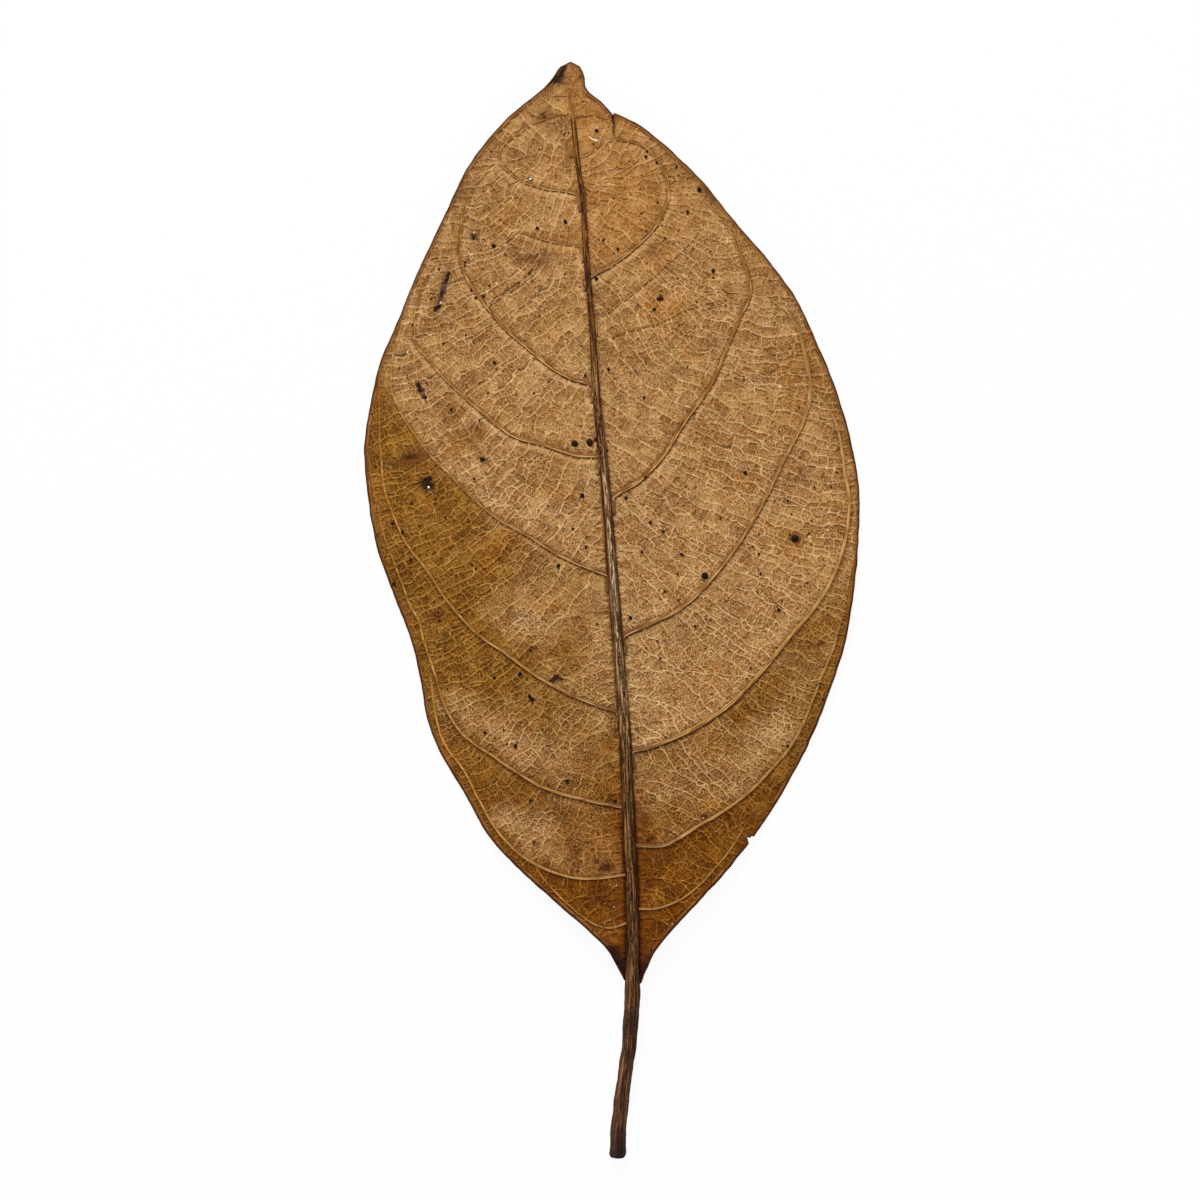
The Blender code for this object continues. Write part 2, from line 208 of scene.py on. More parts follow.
LEAF_LOW_X = -42.9  # the leaf's lowest x and highest y in its own frame
LEAF_HIGH_Y = 147.4
BLADE_THICKNESS = 0.4
EDGE_THICKNESS = 0.3
MARGIN_STEP = 0.8
VEIN_STEP = 0.7
BEND_STEP = 0.5  # the length of the straight runs of a fine vein
CROSS_VEIN_GAP = 2.3
RIB_VEIN_GAP = 1.8  # the gap between fine veins that leave the low midrib
RIB_VEINS_FROM, RIB_VEINS_UP_TO = 4.0, 60.0
CELL_AREA = 0.92  # the smallest meshes, and how much larger they may be where the net is open
OPEN_GROWTH = 2.5
OPEN_NET = [(4, 1), (16, 0), (128, 0), (142, 1)]  # and how open it is at heights
TOO_LARGE = 1.6  # a cell this many times its limit is split
SPLIT_AT = (0.36, 0.64)  # where, as shares of its longer way
LARGE_CELL = 6.0
TONE_SPREAD = (0.12, 0.17)  # how far the parts of a small cell and of a large one differ
SINK = 0.03  # how far a cell's skin lies below its wall, and then at most its middle
DEEPEST_DIP = 0.07
SNAP = 0.13
LEVEL_PULL = 0.35  # how much cross veins turn towards the level
FIELD_BLUR = 4.0  # how softly the directions of the side veins blend between them, mm2
LEAVE = 0.25  # how far from its parent a fine vein's course starts
STRIDE = 0.8  # how long each of its steps is
LONGEST_COURSE = 40  # and how many points it has at most

WANDER = [(0.5, 0.3), (0.4, 0.8), (0.08, 2.1)]  # how far and how finely the net wanders
FIXED_REACH = 0.9  # and how far from the lines that keep their place it does so freely

# by vein order: margin, side vein, cross vein, three finer orders, and a crack
CRACK = 6
RIDGE = [0.05, 0.09, 0.16, 0.12, 0.09, 0.06, -0.25]
HALF_WIDTH = [0.3, 0.24, 0.23, 0.2, 0.19, 0.17, 0.11]
LINE_TONE = [0, 0.6, 1, 0.95, 0.9, 0.85, 0]
# painted shade on the tissue right beside each line of the net
LINE_SHADE = 0.25  # how much darker the tissue is right beside a line
# how strongly veins of each order show: the least and the most
STRENGTH = [(1, 1), (1, 1), (0.75, 1), (0.3, 0.95), (0.1, 0.9), (0, 0.8)]
FADE_CHANCE = 0.4  # how many of the fine ones fade out at one end

RIB_STEP = 0.4
RIB_RADIUS = [  # the radius of the midrib and stalk at heights along the leaf
    (-28.5, 1.05), (-28, 1.36), (-26, 1.2), (-14, 1.12), (-1, 1.14), (5, 0.98), (15, 0.92),
    (32, 0.95), (45, 0.9), (67, 0.8), (87, 0.66), (100, 0.55), (112, 0.47), (125, 0.42),
    (134, 0.42), (137.9, 0.4), (138.8, 0.2), (142.6, 0.12),
]
# how dark the painted shade on the blade is against the midrib on each side, and how far out, at
# heights
RIB_SHADE = {
    "left": [(0, 1), (21, 1), (27, 0.7), (75, 0.9), (90, 0.5), (140, 0.3)],
    "right": [(0, 1), (26, 1), (33, 0.6), (110, 0.6), (140, 0.3)],
}
RIB_SHADE_REACH = [(0, 0.5), (20, 0.5), (36, 0.38), (70, 0.42), (140, 0.35)]
# how far up the blade is as ochre as at its foot, is fringed with a comb of fine lines beside
# the midrib, and has a glow of red brown there
FOOT = [(21, 1), (38, 0)]
FRINGE = [(70, 1), (100, 0)]
RIB_GLOW = [(26, 1), (36, 0)]
# how crisp the finest lines are at heights along each side
CRISPNESS = {
    "left": [
        (0, 1.05), (20, 1.2), (35, 1.38), (60, 1.28), (80, 1.1), (105, 0.9), (120, 0.9), (147, 0.6),
    ],
    "right": [
        (0, 1.05), (20, 1.2), (32, 1.6), (46, 1.5), (60, 1.25), (80, 1.05), (105, 0.95),
        (117, 0.85), (124, 0.6), (147, 0.6),
    ],
}
PATCHINESS = {  # and how strongly patches of the tissue differ there
    "left": [(0, 1.2), (20, 1.7), (70, 1.8), (100, 1.8), (114, 1), (147, 1)],
    "right": [
        (0, 1), (22, 1), (30, 0.65), (50, 0.65), (60, 1), (110, 1), (120, 0.65), (136, 0.65),
        (147, 1),
    ],
}
RUN_DOWN = 2.6  # how far below its foot a side vein can be told from the midrib
RUN_DOWN_ABOVE = 34.0  # above what height, and the gap that is then between them
RUN_DOWN_GAP = 0.22
STROKE_PITCH = 0.52  # the gap between the finest lines
RIB_SIDES = 48
VEIN_SIDES = 12
BEAD_SIDES = 8
DOT_SIDES = 9
DOT_RINGS = [(1.05, -0.06), (1, 0.08), (0.62, 0.3)]  # (width, height) as shares of the radius
DOT_TOP = 0.36  # the same for the height of its middle, and how deep its foot is in mm
DOT_ROOT = 0.06
CLEAR_OF_FLOOR = 0.02
VEIN_LIFT = 0.02  # how high a bold side vein lies, and how much higher a thin one
THIN_VEIN_LIFT = 0.08
VEIN_RISE = 0.42  # a side vein's height and depth as shares of its half width
VEIN_DEPTH = 0.35
RIDGE_STEP = 0.45  # how closely the side veins are followed, and for the sag between them
COARSE_STEP = 3.2
DOT_COUNT = 270
DOT_LIFT = 0.2
SMALL_DOT = (0.07, 0.2)  # the least and the greatest radius of the scattered dots
# the beads of the margin: (how far in, radius, unevenness, how far down)
BEADS = [(0, 0.16, 0.04, 0.12), (0.36, 0.17, 0.2, 0.1)]
INNER_BEAD = [(3, 0), (9, 1), (143, 1), (146, 0)]  # how much of the inner one is left at heights
INNER_BEAD_GAP = 0.7  # and how far it keeps from the notch and the tear

FRAME_WIDTH = 192.0  # how much of the floor the camera takes in
VIEW_SHIFT = (-1.92, 1.52)
FLOOR_DROP = -0.0001  # metres, and how far the floor reaches each way
FLOOR_REACH = 1.2
FLOOR_GLOW = 0.94
KEY_PLACE = (-0.2, 1.0, 0.82)  # metres
KEY_SIZE = 0.45
KEY_POWER = 16.0
SKY_STRENGTH = 0.46

# how the blade lies, as in the CAD source
ARCH_LOW = 1.5
ARCH_RISE = 3.6
ARCH_START = -24.0
ARCH_END = 156.0
MARGIN_REST = 0.45
MARGIN_LIFT = 1.5
LEFT_TOUCH, LEFT_WAVE = 40.0, 60.0
RIGHT_TOUCH, RIGHT_WAVE = 27.0, 58.0
FULL_DROOP_REACH = 24.0
ROOF_SHARE = 0.35
PANEL_SAG = 0.45
PANEL_REACH = 3.6
STALK_DROOP = 1.4
RIB_PROUD = 0.25  # how far the dressed midrib stands proud, as a share of its radius


# ---------------------------------------------------------------- curves


def smooth_path(points, step):
    """Points about a step apart on a smooth curve (centripetal Catmull-Rom) through these."""
    knots = np.asarray(points, float)
    ends = np.vstack([2 * knots[0] - knots[1], knots, 2 * knots[-1] - knots[-2]])
    path = [knots[0]]
    for p0, p1, p2, p3 in zip(ends, ends[1:], ends[2:], ends[3:]):
        t1 = math.sqrt(np.linalg.norm(p1 - p0))
        t2 = t1 + math.sqrt(np.linalg.norm(p2 - p1))
        t3 = t2 + math.sqrt(np.linalg.norm(p3 - p2))
        count = max(1, round(np.linalg.norm(p2 - p1) / step))
        for t in np.linspace(t1, t2, count + 1)[1:]:
            a1 = (p0 * (t1 - t) + p1 * t) / t1
            a2 = (p1 * (t2 - t) + p2 * (t - t1)) / (t2 - t1)
            a3 = (p2 * (t3 - t) + p3 * (t - t2)) / (t3 - t2)
            b1 = (a1 * (t2 - t) + a2 * t) / t2
            b2 = (a2 * (t3 - t) + a3 * (t - t1)) / (t3 - t1)
            path.append((b1 * (t2 - t) + b2 * (t - t1)) / (t2 - t1))
    return np.array(path)


def headings(path):
    """The unit direction of a path at each of its points."""
    ahead = np.gradient(path, axis=0)
    return ahead / np.linalg.norm(ahead, axis=1)[:, None]


def leftwards(ahead):
    """The flat directions a quarter turn to the left of these."""
    return np.column_stack([-ahead[:, 1], ahead[:, 0]])


def run_lengths(path):
    """How far along a path each of its points lies."""
    return np.r_[0, np.cumsum(np.linalg.norm(np.diff(path, axis=0), axis=1))]


def at_height(y, table):
    """What a table of (height, value) gives at these heights along the leaf."""
    return np.interp(y, *zip(*table))


def midrib_x(y):
    x, heights = np.array(MIDRIB).T
    return np.interp(y, heights, x)


def rough(x, y, pace, layer):
    """Smooth noise over the leaf, finer for a higher pace and different for each layer."""
    return noise.noise(Vector((x * pace, y * pace, layer)))


def ragged(path):
    """A margin line with the slight unevenness of a dry edge."""
    depth = [0.1 * rough(x, y, 0.45, 3) + 0.05 * rough(x, y, 1.6, 9) for x, y in path]
    depth[0] = depth[-1] = 0.0
    return path + leftwards(headings(path)) * np.array(depth)[:, None]


def nearest(points, *paths, chunk=4000):
    """For each point, its distance to the nearest path and its share of the way along it."""
    distance = np.full(len(points), np.inf)
    share = np.zeros(len(points))
    for first in range(0, len(points), chunk):
        part = slice(first, first + chunk)
        for path in paths:
            start, reach = path[:-1], np.diff(path, axis=0)
            offset = points[part, None] - start
            t = np.clip((offset * reach).sum(2) / (reach * reach).sum(1), 0, 1)
            gap = np.linalg.norm(offset - t[..., None] * reach, axis=2)
            best = gap.argmin(1)
            rows = np.arange(len(best))
            closer = gap[rows, best] < distance[part]
            distance[part][closer] = gap[rows, best][closer]
            share[part][closer] = ((best + t[rows, best]) / len(reach))[closer]
    return distance, share


# ---------------------------------------------------------------- how the blade lies


def midrib_height(y):
    return ARCH_LOW + ARCH_RISE * np.sin(math.pi * (y - ARCH_START) / (ARCH_END - ARCH_START))


def wave(y, touch, length):
    return MARGIN_REST + MARGIN_LIFT * (0.5 - 0.5 * np.cos(2 * math.pi * (y - touch) / length))


def margin_reach(y, side):
    """The distance from the midrib to the margin on one side (-1 left, 1 right)."""
    margin = np.array(MARGIN_LEFT[:-1] if side < 0 else MARGIN_FOOT[::-1] + MARGIN_RIGHT[::-1])
    x, heights = margin[np.argsort(margin[:, 1])].T
    return np.abs(np.interp(y, heights, x) - midrib_x(y))


def lie(points, veins):
    """Height of the blade's upper face without its veins."""
    points = np.asarray(points, float).reshape(-1, 2)
    x, y = points.T
    offset = x - midrib_x(y)
    left = offset < 0
    reach = np.where(left, margin_reach(y, -1), margin_reach(y, 1))
    share = np.clip(np.abs(offset) / np.maximum(reach, 1.0), 0, 1.1)
    low = np.where(left, wave(y, LEFT_TOUCH, LEFT_WAVE), wave(y, RIGHT_TOUCH, RIGHT_WAVE))
    droop = (midrib_height(y) - low) * np.clip(reach / FULL_DROOP_REACH, 0, 1) ** 1.5
    height = midrib_height(y) - droop * (ROOF_SHARE * share + (1 - ROOF_SHARE) * share**2)
    distance, _ = nearest(points, *veins)
    middle = np.clip(4 * share * (1 - share), 0, 1)
    sag = PANEL_SAG * middle * (1 - np.exp(-((distance / PANEL_REACH) ** 2)))
    crinkle = [0.16 * rough(a, b, 0.13, 1) + 0.05 * rough(a, b, 0.5, 5) for a, b in points]
    return height - sag + middle * np.array(crinkle)


# ---------------------------------------------------------------- the net of veins


def edge(a, b):
    return (a, b) if a < b else (b, a)


def pairs(loop):
    """Each item of a closed loop with the one after it."""
    return list(zip(loop, loop[1:] + loop[:1]))


class Net:
    """Veins that divide the blade into cells. Cells share their points and edges."""

    def __init__(self):
        self.points = []
        self.veins = {}  # edge: the order of its vein and how strongly it shows there
        self.joins = {}  # edge: the point that a later vein put on it

    def add(self, x, y):
        self.points.append((float(x), float(y)))
        return len(self.points) - 1

    def spots(self, cell):
        return [self.points[p] for p in cell]

    def mark(self, chain, order, start=1.0, end=1.0):
        """Makes a vein of a chain of points; its strength goes from start to end."""
        for n, ends in enumerate(zip(chain, chain[1:])):
            share = (n + 0.5) / (len(chain) - 1)
            self.veins[edge(*ends)] = (order, start + (end - start) * share)

    def walk(self, a, b):
        """The points from a up to b, b left out, with every join between them."""
        joint = self.joins.get(edge(a, b))
        if joint is None:
            return [a]
        return self.walk(a, joint) + self.walk(joint, b)

    def grown(self, cell):
        """The cell with the joins that its neighbours' veins made on its edges."""
        return [p for a, b in pairs(cell) for p in self.walk(a, b)]

    def join(self, a, b, x, y):
        """The point where a vein meets the edge from a to b: a new one, or a near end."""
        for end in (a, b):
            if math.dist((x, y), self.points[end]) < SNAP:
                return end
        joint = self.add(x, y)
        self.veins[edge(a, joint)] = self.veins[edge(a, b)]
        self.veins[edge(joint, b)] = self.veins[edge(a, b)]
        self.joins[edge(a, b)] = joint
        return joint

    def hits(self, cell, origin, heading):
        """Where the line from origin along heading crosses the cell: (distance, edge, x, y)."""
        (ox, oy), (dx, dy) = origin, heading
        spots = self.spots(cell)
        side = [(x - ox) * dy - (y - oy) * dx for x, y in spots]
        found = []
        for k, here in enumerate(side):
            after = side[k + 1 - len(side)]
            if (here < 0) != (after < 0):
                t = here / (here - after)
                (ax, ay), (bx, by) = spots[k], spots[k + 1 - len(side)]
                x, y = ax + (bx - ax) * t, ay + (by - ay) * t
                found.append(((x - ox) * dx + (y - oy) * dy, k, x, y))
        return sorted(found)

    def first_hit(self, cell, origin, heading):
        """The first of the hits that lie ahead, or None."""
        return next((hit for hit in self.hits(cell, origin, heading) if hit[0] > 0), None)

    def holds(self, cell, spot):
        return sum(hit[0] > 0 for hit in self.hits(cell, spot, (1.0, 0.0))) % 2 == 1

    def split(self, cell, start, end, between, *vein):
        """The two parts of a cell that a vein from start to end, both hits, divides it into."""
        if start[1] == end[1]:
            return None
        joints = {
            k: self.join(cell[k], cell[k + 1 - len(cell)], x, y) for _, k, x, y in (start, end)
        }
        first, last = joints[start[1]], joints[end[1]]
        loop = self.grown(cell)
        if first == last:
            return None
        inner = [self.add(x, y) for x, y in between]
        i, j = loop.index(first), loop.index(last)
        if i > j:
            i, j, inner = j, i, inner[::-1]
            first, last = last, first
        one, other = loop[i : j + 1] + inner[::-1], loop[j:] + loop[: i + 1] + inner
        if min(len(one), len(other)) < 3:
            return None
        self.mark([first, *inner, last], *vein)
        return one, other

    def grow(self, cells, path, *vein):
        """A vein along a path, from the cell wall behind its start to the first one it meets."""
        start = tuple(path[0])
        home = next((n for n, cell in enumerate(cells) if self.holds(cell[0], start)), None)
        if home is None:
            return
        loop, *traits = cells[home]
        loop = self.grown(loop)
        step = np.subtract(path[1], path[0])
        heading = tuple(step / np.linalg.norm(step))
        behind = [hit for hit in self.hits(loop, start, heading) if hit[0] < 0]
        between = []
        for here, there in zip(path, path[1:]):
            reach = math.dist(here, there)
            if reach < 1e-6:
                continue
            between.append(tuple(here))
            heading = tuple(np.subtract(there, here) / reach)
            ahead = self.first_hit(loop, here, heading)
            if ahead is None:
                return
            if ahead[0] <= reach + SNAP:
                break
        else:
            between.append(tuple(path[-1]))
            ahead = self.first_hit(loop, path[-1], heading)
        if ahead is None or not behind:
            return
        close = [
            spot for spot in between
            if math.dist(spot, behind[-1][2:]) > SNAP and math.dist(spot, ahead[2:]) > SNAP
        ]
        parts = self.split(loop, behind[-1], ahead, close, *vein)
        if parts:
            cells[home : home + 1] = [(part, *traits) for part in parts]


def outlines():
    """The midrib's line up to the tip, and the margins of the left and the right half."""
    spine = smooth_path([*MIDRIB, (-10.3, 145.2), (-9.9, 147.4)], VEIN_STEP)
    left = ragged(smooth_path(MARGIN_LEFT, MARGIN_STEP))
    tip, side, foot = (
        ragged(smooth_path(run, MARGIN_STEP)) for run in (MARGIN_TIP, MARGIN_RIGHT, MARGIN_FOOT)
    )
    return spine, left, np.vstack([tip, side, NOTCH[1:], foot[1:]])


def centre(spots):
    return sum(x for x, _ in spots) / len(spots), sum(y for _, y in spots) / len(spots)


def polygon_area(spots):
    x, y = np.array(spots).T
    return 0.5 * float(np.dot(x, np.roll(y, -1)) - np.dot(y, np.roll(x, -1)))


def vein_field(paths):
    """A function of place: the direction across the side veins, turned a little to the level."""
    spots = np.vstack([(path[1:] + path[:-1]) / 2 for path in paths])
    steps = np.vstack([np.diff(path, axis=0) for path in paths])
    twice = 2 * np.arctan2(steps[:, 1], steps[:, 0])
    doubled = np.column_stack([np.cos(twice), np.sin(twice)])

    def across(x, y):
        weight = 1 / (((spots - (x, y)) ** 2).sum(1) + FIELD_BLUR) ** 2
        c, s = weight @ doubled / weight.sum()
        return math.atan2(-s, LEVEL_PULL - c) / 2

    return across


def nearly(turn, heading):
    """The direction turn or its opposite, whichever is closer to heading."""
    return turn + math.pi * round((heading - turn) / math.pi)


def zone_of(net, loop, side):
    """How ochre the blade is between two side veins."""
    for spot, ochre in OCHRE_PANELS[side]:
        if net.holds(loop, spot):
            return ochre
    return 0.0


def strengths(order):
    """The strengths at the two ends of a vein; some of the fine ones fade out at one end."""
    least, most = STRENGTH[order]
    ends = [random.uniform(least, most), random.uniform(least, most)]
    if order > 2 and random.random() < FADE_CHANCE:
        ends[random.randrange(2)] = 0.0
    return ends


def cross_veins(net, cells, paths, across):
    """Cross veins that set out from each side vein at about even steps."""
    for path in paths:
        lengths = run_lengths(path)
        at = random.uniform(1.0, 2.5)
        while at < lengths[-1]:
            x, y = (np.interp(at, lengths, path[:, k]) for k in (0, 1))
            for way in (1, -1):
                turn = across(x, y) + random.gauss(0, 0.12)
                if way < 0:
                    turn += math.pi
                sx, sy = x + LEAVE * math.cos(turn), y + LEAVE * math.sin(turn)
                line = [(sx, sy)]
                sway, phase = random.uniform(0.1, 0.4), random.uniform(0, 6.3)
                for n in range(1, LONGEST_COURSE):
                    turn = nearly(across(sx, sy), turn)
                    bend = turn + sway * math.sin(phase + n)
                    sx, sy = sx + STRIDE * math.cos(bend), sy + STRIDE * math.sin(bend)
                    line.append((sx, sy))
                net.grow(cells, line, 2, *strengths(2))
            at += CROSS_VEIN_GAP * random.uniform(0.65, 1.4)


def rib_veins(net, cells, side, spine):
    """Fine veins that leave the low midrib about level and droop to the next side vein."""
    way = -1 if side == "left" else 1
    y = RIB_VEINS_FROM
    while y < RIB_VEINS_UP_TO:
        sx, sy = np.interp(y, spine[:, 1], spine[:, 0]) + way * LEAVE, y
        turn, fall = random.gauss(-0.12, 0.1), random.uniform(0.02, 0.1)
        sway, phase = random.uniform(0.1, 0.4), random.uniform(0, 6.3)
        line = [(sx, sy)]
        for n in range(random.randint(4, 12)):
            turn = max(turn - fall, -0.8)
            bend = turn + sway * math.sin(phase + n * 1.1)
            sx, sy = sx + way * STRIDE * math.cos(bend), sy + STRIDE * math.sin(bend)
            line.append((sx, sy))
        net.grow(cells, line, 2, 1.0, random.uniform(0.3, 0.8))
        y += RIB_VEIN_GAP * random.uniform(0.6, 1.4)


def halve(net, cell, across, depth):
    """Splits a cell across its longer way, or returns None."""
    spots = net.spots(cell)
    turn = across(*centre(spots)) + random.gauss(0, 0.14 + 0.05 * depth)
    frames = []
    for angle in (turn, turn + math.pi / 2):
        nx, ny = math.cos(angle), math.sin(angle)
        places = [x * nx + y * ny for x, y in spots]
        frames.append((max(places) - min(places), min(places), nx, ny))
    extent, low, nx, ny = max(frames)
    level = low + extent * random.uniform(*SPLIT_AT)
    found = net.hits(cell, (nx * level, ny * level), (-ny, nx))
    spans = [(b[0] - a[0], a, b) for a, b in zip(found[::2], found[1::2])]
    if not spans:
        return None
    length, start, end = max(spans)
    count = int(length / BEND_STEP)
    between = []
    bow = length * random.gauss(0, 0.09)
    for n in range(1, count):
        t = n / count
        swing = bow * math.sin(math.pi * t) + random.gauss(0, 0.035) * min(length, 2.0)
        between.append((
            start[2] + (end[2] - start[2]) * t + nx * swing,
            start[3] + (end[3] - start[3]) * t + ny * swing,
        ))
    order = min(5, 3 + depth // 3)
    return net.split(cell, start, end, between, order, *strengths(order))


def fill(net, cells, across):
    """Halves every cell again and again until all are as small as the finest meshes."""
    stack = [(loop, tone, red, zone, 0) for loop, tone, red, zone in cells]
    done = []
    while stack:
        loop, tone, red, zone, depth = stack.pop()
        loop = net.grown(loop)
        spots = net.spots(loop)
        area = polygon_area(spots)
        growth = 1 + OPEN_GROWTH * float(at_height(spots[0][1], OPEN_NET))
        limit = CELL_AREA * growth * math.exp(random.gauss(0, 0.5))
        parts = None
        for _ in range(4 if area > limit * TOO_LARGE else 0):
            parts = parts or halve(net, loop, across, depth)
        if parts is None:
            done.append((loop, tone, red, zone))
            continue
        spread = TONE_SPREAD[area > LARGE_CELL]
        for part in parts:
            shade, rust = tone + random.gauss(0, spread), red + random.gauss(0, spread)
            stack.append((part, shade, rust, zone, depth + 1))
    return [(net.grown(loop), tone, red, zone) for loop, tone, red, zone in done]


def wander(net, fixed):
    """Bends the net a little everywhere but along the lines that keep their place."""
    spots = np.array(net.points)
    gap, _ = nearest(spots, *fixed)
    free = np.clip(gap / FIXED_REACH, 0, 1)
    shift = np.array([
        [sum(size * rough(x, y, pace, layer + pace) for size, pace in WANDER) for layer in (11, 57)]
        for x, y in spots
    ])
    net.points = [tuple(spot) for spot in spots + shift * free[:, None]]


def divide_half(side, spine, margin):
    """One half of the blade divided into cells, each (loop, tone, red, ochre)."""
    net = Net()
    rib = [net.add(x, y) for x, y in spine]
    if side == "left":
        rim = [rib[0], *(net.add(x, y) for x, y in margin[:-1]), rib[-1]]
        loop = rim[:-1] + rib[:0:-1]
    else:
        rim = [rib[-1], *(net.add(x, y) for x, y in margin[1:]), rib[0]]
        loop = rim[:-1] + rib[:-1]
    net.mark(rib, 1)
    net.mark(rim, 0)
    if polygon_area(net.spots(loop)) < 0:
        loop = loop[::-1]
    cells = [(loop, 0.0, 0.0, 0.0)]
    paths = [smooth_path(points, VEIN_STEP) for *_, points in SIDE_VEINS[side]]
    for path in paths:
        net.grow(cells, [tuple(p) for p in path[1:]], 1)
    if side == "right":
        net.grow(cells, TEAR, CRACK)
    cells = [(cell[0], 0.0, 0.0, zone_of(net, cell[0], side)) for cell in cells]
    across = vein_field([
        smooth_path(points[: len(points) - faint], VEIN_STEP)
        for _, _, faint, points in SIDE_VEINS[side]
    ])
    rib_veins(net, cells, side, spine)
    cross_veins(net, cells, paths, across)
    cells = fill(net, cells, across)
    wander(net, [*paths, spine, margin])
    return net, cells


# ---------------------------------------------------------------- marks on the blade


# Broad tints and small stains: (x, y, half length, half width, turn in degrees, strength).
OCHRE_TINTS = [
    (-40.5, 78, 9, 2.4, 95, 0.8), (-38, 66, 9, 3.2, 110, 0.85), (-34.5, 80.5, 8, 3.6, 100, 0.9),
    (-31.5, 75, 6, 4, 45, 0.7), (-33, 66, 5, 3, 60, 0.45), (-25, 68.5, 6, 4, 40, 0.45),
    (-31, 57, 6, 3.5, 60, 0.8), (-25, 53, 6, 3, 40, 0.55), (-33, 47, 6, 2, 100, 0.35),
    (-27, 35, 6, 3, 130, 0.85), (-20, 31.5, 6, 2, 155, 0.6), (-22.5, 22, 7, 1.6, 130, 0.7),
    (-12, 15, 6, 2, 150, 0.5), (28.5, 50, 6, 3.5, 60, 0.35), (21, 46.5, 6, 2, 45, 0.3),
    (25, 34, 4, 2, 60, 0.7), (31, 57, 4, 2.5, 70, 0.3), (16.5, 43, 3.5, 1.4, 25, 0.4),
    (-18.5, 50.5, 7, 3, 30, 0.45), (7.5, 26, 8, 2.6, 18, 0.45),
]
WARM_TINTS = [
    (-1.5, 126, 11, 8, 100, 0.6), (-8, 141.5, 4, 4, 0, 0.25), (-7.8, 134.6, 1.6, 1.1, 100, 0.95),
    (-20, 123, 4, 1.4, 28, 0.55), (-10.5, 117.5, 3.2, 1, 0, 0.5), (5, 108, 3.4, 1.8, 160, 0.7),
    (4.5, 115.5, 2, 1.5, 0, 0.45), (10, 100.8, 1.6, 1.3, 0, 0.8), (4.8, 104, 1.6, 1, 0, 0.6),
    (-13.5, 103.5, 1.6, 1.2, 0, 0.55), (-12, 91, 3, 1.2, 0, 0.4), (-21, 70.5, 3, 2.2, 10, 0.9),
    (-23.8, 66.3, 1.8, 1.4, 0, 0.8), (-13.2, 60.3, 2.6, 1.3, 10, 0.95),
    (-9, 56.5, 1.8, 1.4, 0, 0.6), (-13, 78.5, 2.6, 1, 170, 0.6), (-29, 91.7, 1.7, 1.4, 0, 0.7),
    (-26.6, 87.5, 2, 1.4, 20, 0.8), (11, 87, 2.2, 1.2, 0, 0.5), (17.8, 80, 2.2, 1.6, 0, 0.5),
    (16, 93, 3, 1, 0, 0.4), (26, 96, 7, 2.6, 80, 0.6), (22.5, 73, 2.6, 0.8, 165, 0.7),
    (25.5, 69.7, 3, 1, 10, 0.6), (13.5, 49, 2.4, 1.5, 20, 0.75), (12, 38, 3.4, 1.8, 150, 0.75),
    (14, 27.6, 1.4, 1, 0, 0.9), (23.6, 33.6, 1.8, 1.2, 60, 0.95), (-5, 22, 2.5, 3, 0, 0.6),
    (-40.5, 76, 5, 1.5, 95, 0.6), (-2.3, 7, 1.3, 1.2, 0, 0.8), (3, 13.8, 1.6, 1.2, 0, 0.6),
    (2.6, 5.4, 0.9, 0.6, 0, 0.7), (-29.5, 36.5, 3, 1.5, 130, 0.6), (8, 105.5, 2, 1.2, 0, 0.4),
    (-33, 58, 2, 1.5, 40, 0.5), (33.4, 79, 12, 2.6, 88, 0.4), (-7.9, 135.6, 2.3, 1.1, 100, 0.95),
    (26.1, 70.8, 2.6, 2, 20, 0.9),
]
# paler patches; the first, at (-17, 57.5), is a painted highlight on a swell of the blade
PALE_TINTS = [
    (-17, 57.5, 4, 2.6, 20, 0.8), (-18, 25.3, 3.6, 2.2, 150, 0.6), (-5, 57.5, 4, 1.3, 95, 0.5),
    (-27, 43.5, 3, 3, 0, 0.4), (-16.5, 37.5, 5, 2, 150, 0.5), (-29.5, 83, 3.5, 2, 130, 0.5),
    (-23, 79, 3, 2, 140, 0.4), (-13, 74, 3.5, 1.5, 150, 0.5), (-4.8, 41, 2, 0.9, 90, 0.6),
    (-12, 99, 5, 1.5, 150, 0.3), (8.5, 86.5, 3, 1.2, 50, 0.4), (22.5, 40, 3.5, 2.5, 60, 0.6),
    (0, 90, 7, 3.5, 90, 0.3), (3, 50, 4, 3, 60, 0.3), (-22, 38.5, 9, 2.6, 141, 0.6),
    (-33.5, 90, 2.5, 1.2, 130, 0.3), (-2, 114, 3, 1, 30, 0.4),
]
LIT_TINTS = [(23, 48, 7, 5, 60, 0.8), (-2, 129, 7, 5, 100, 0.9)]
DEEP_TINTS = [
    (-13, 35, 9, 5, 150, 0.9), (-28, 100, 6, 5, 90, 0.9), (-35, 84, 6, 5, 90, 0.9),
    (33, 78, 11, 2.2, 90, 0.8), (-10, 144.5, 3, 2.4, 60, 0.9),
]
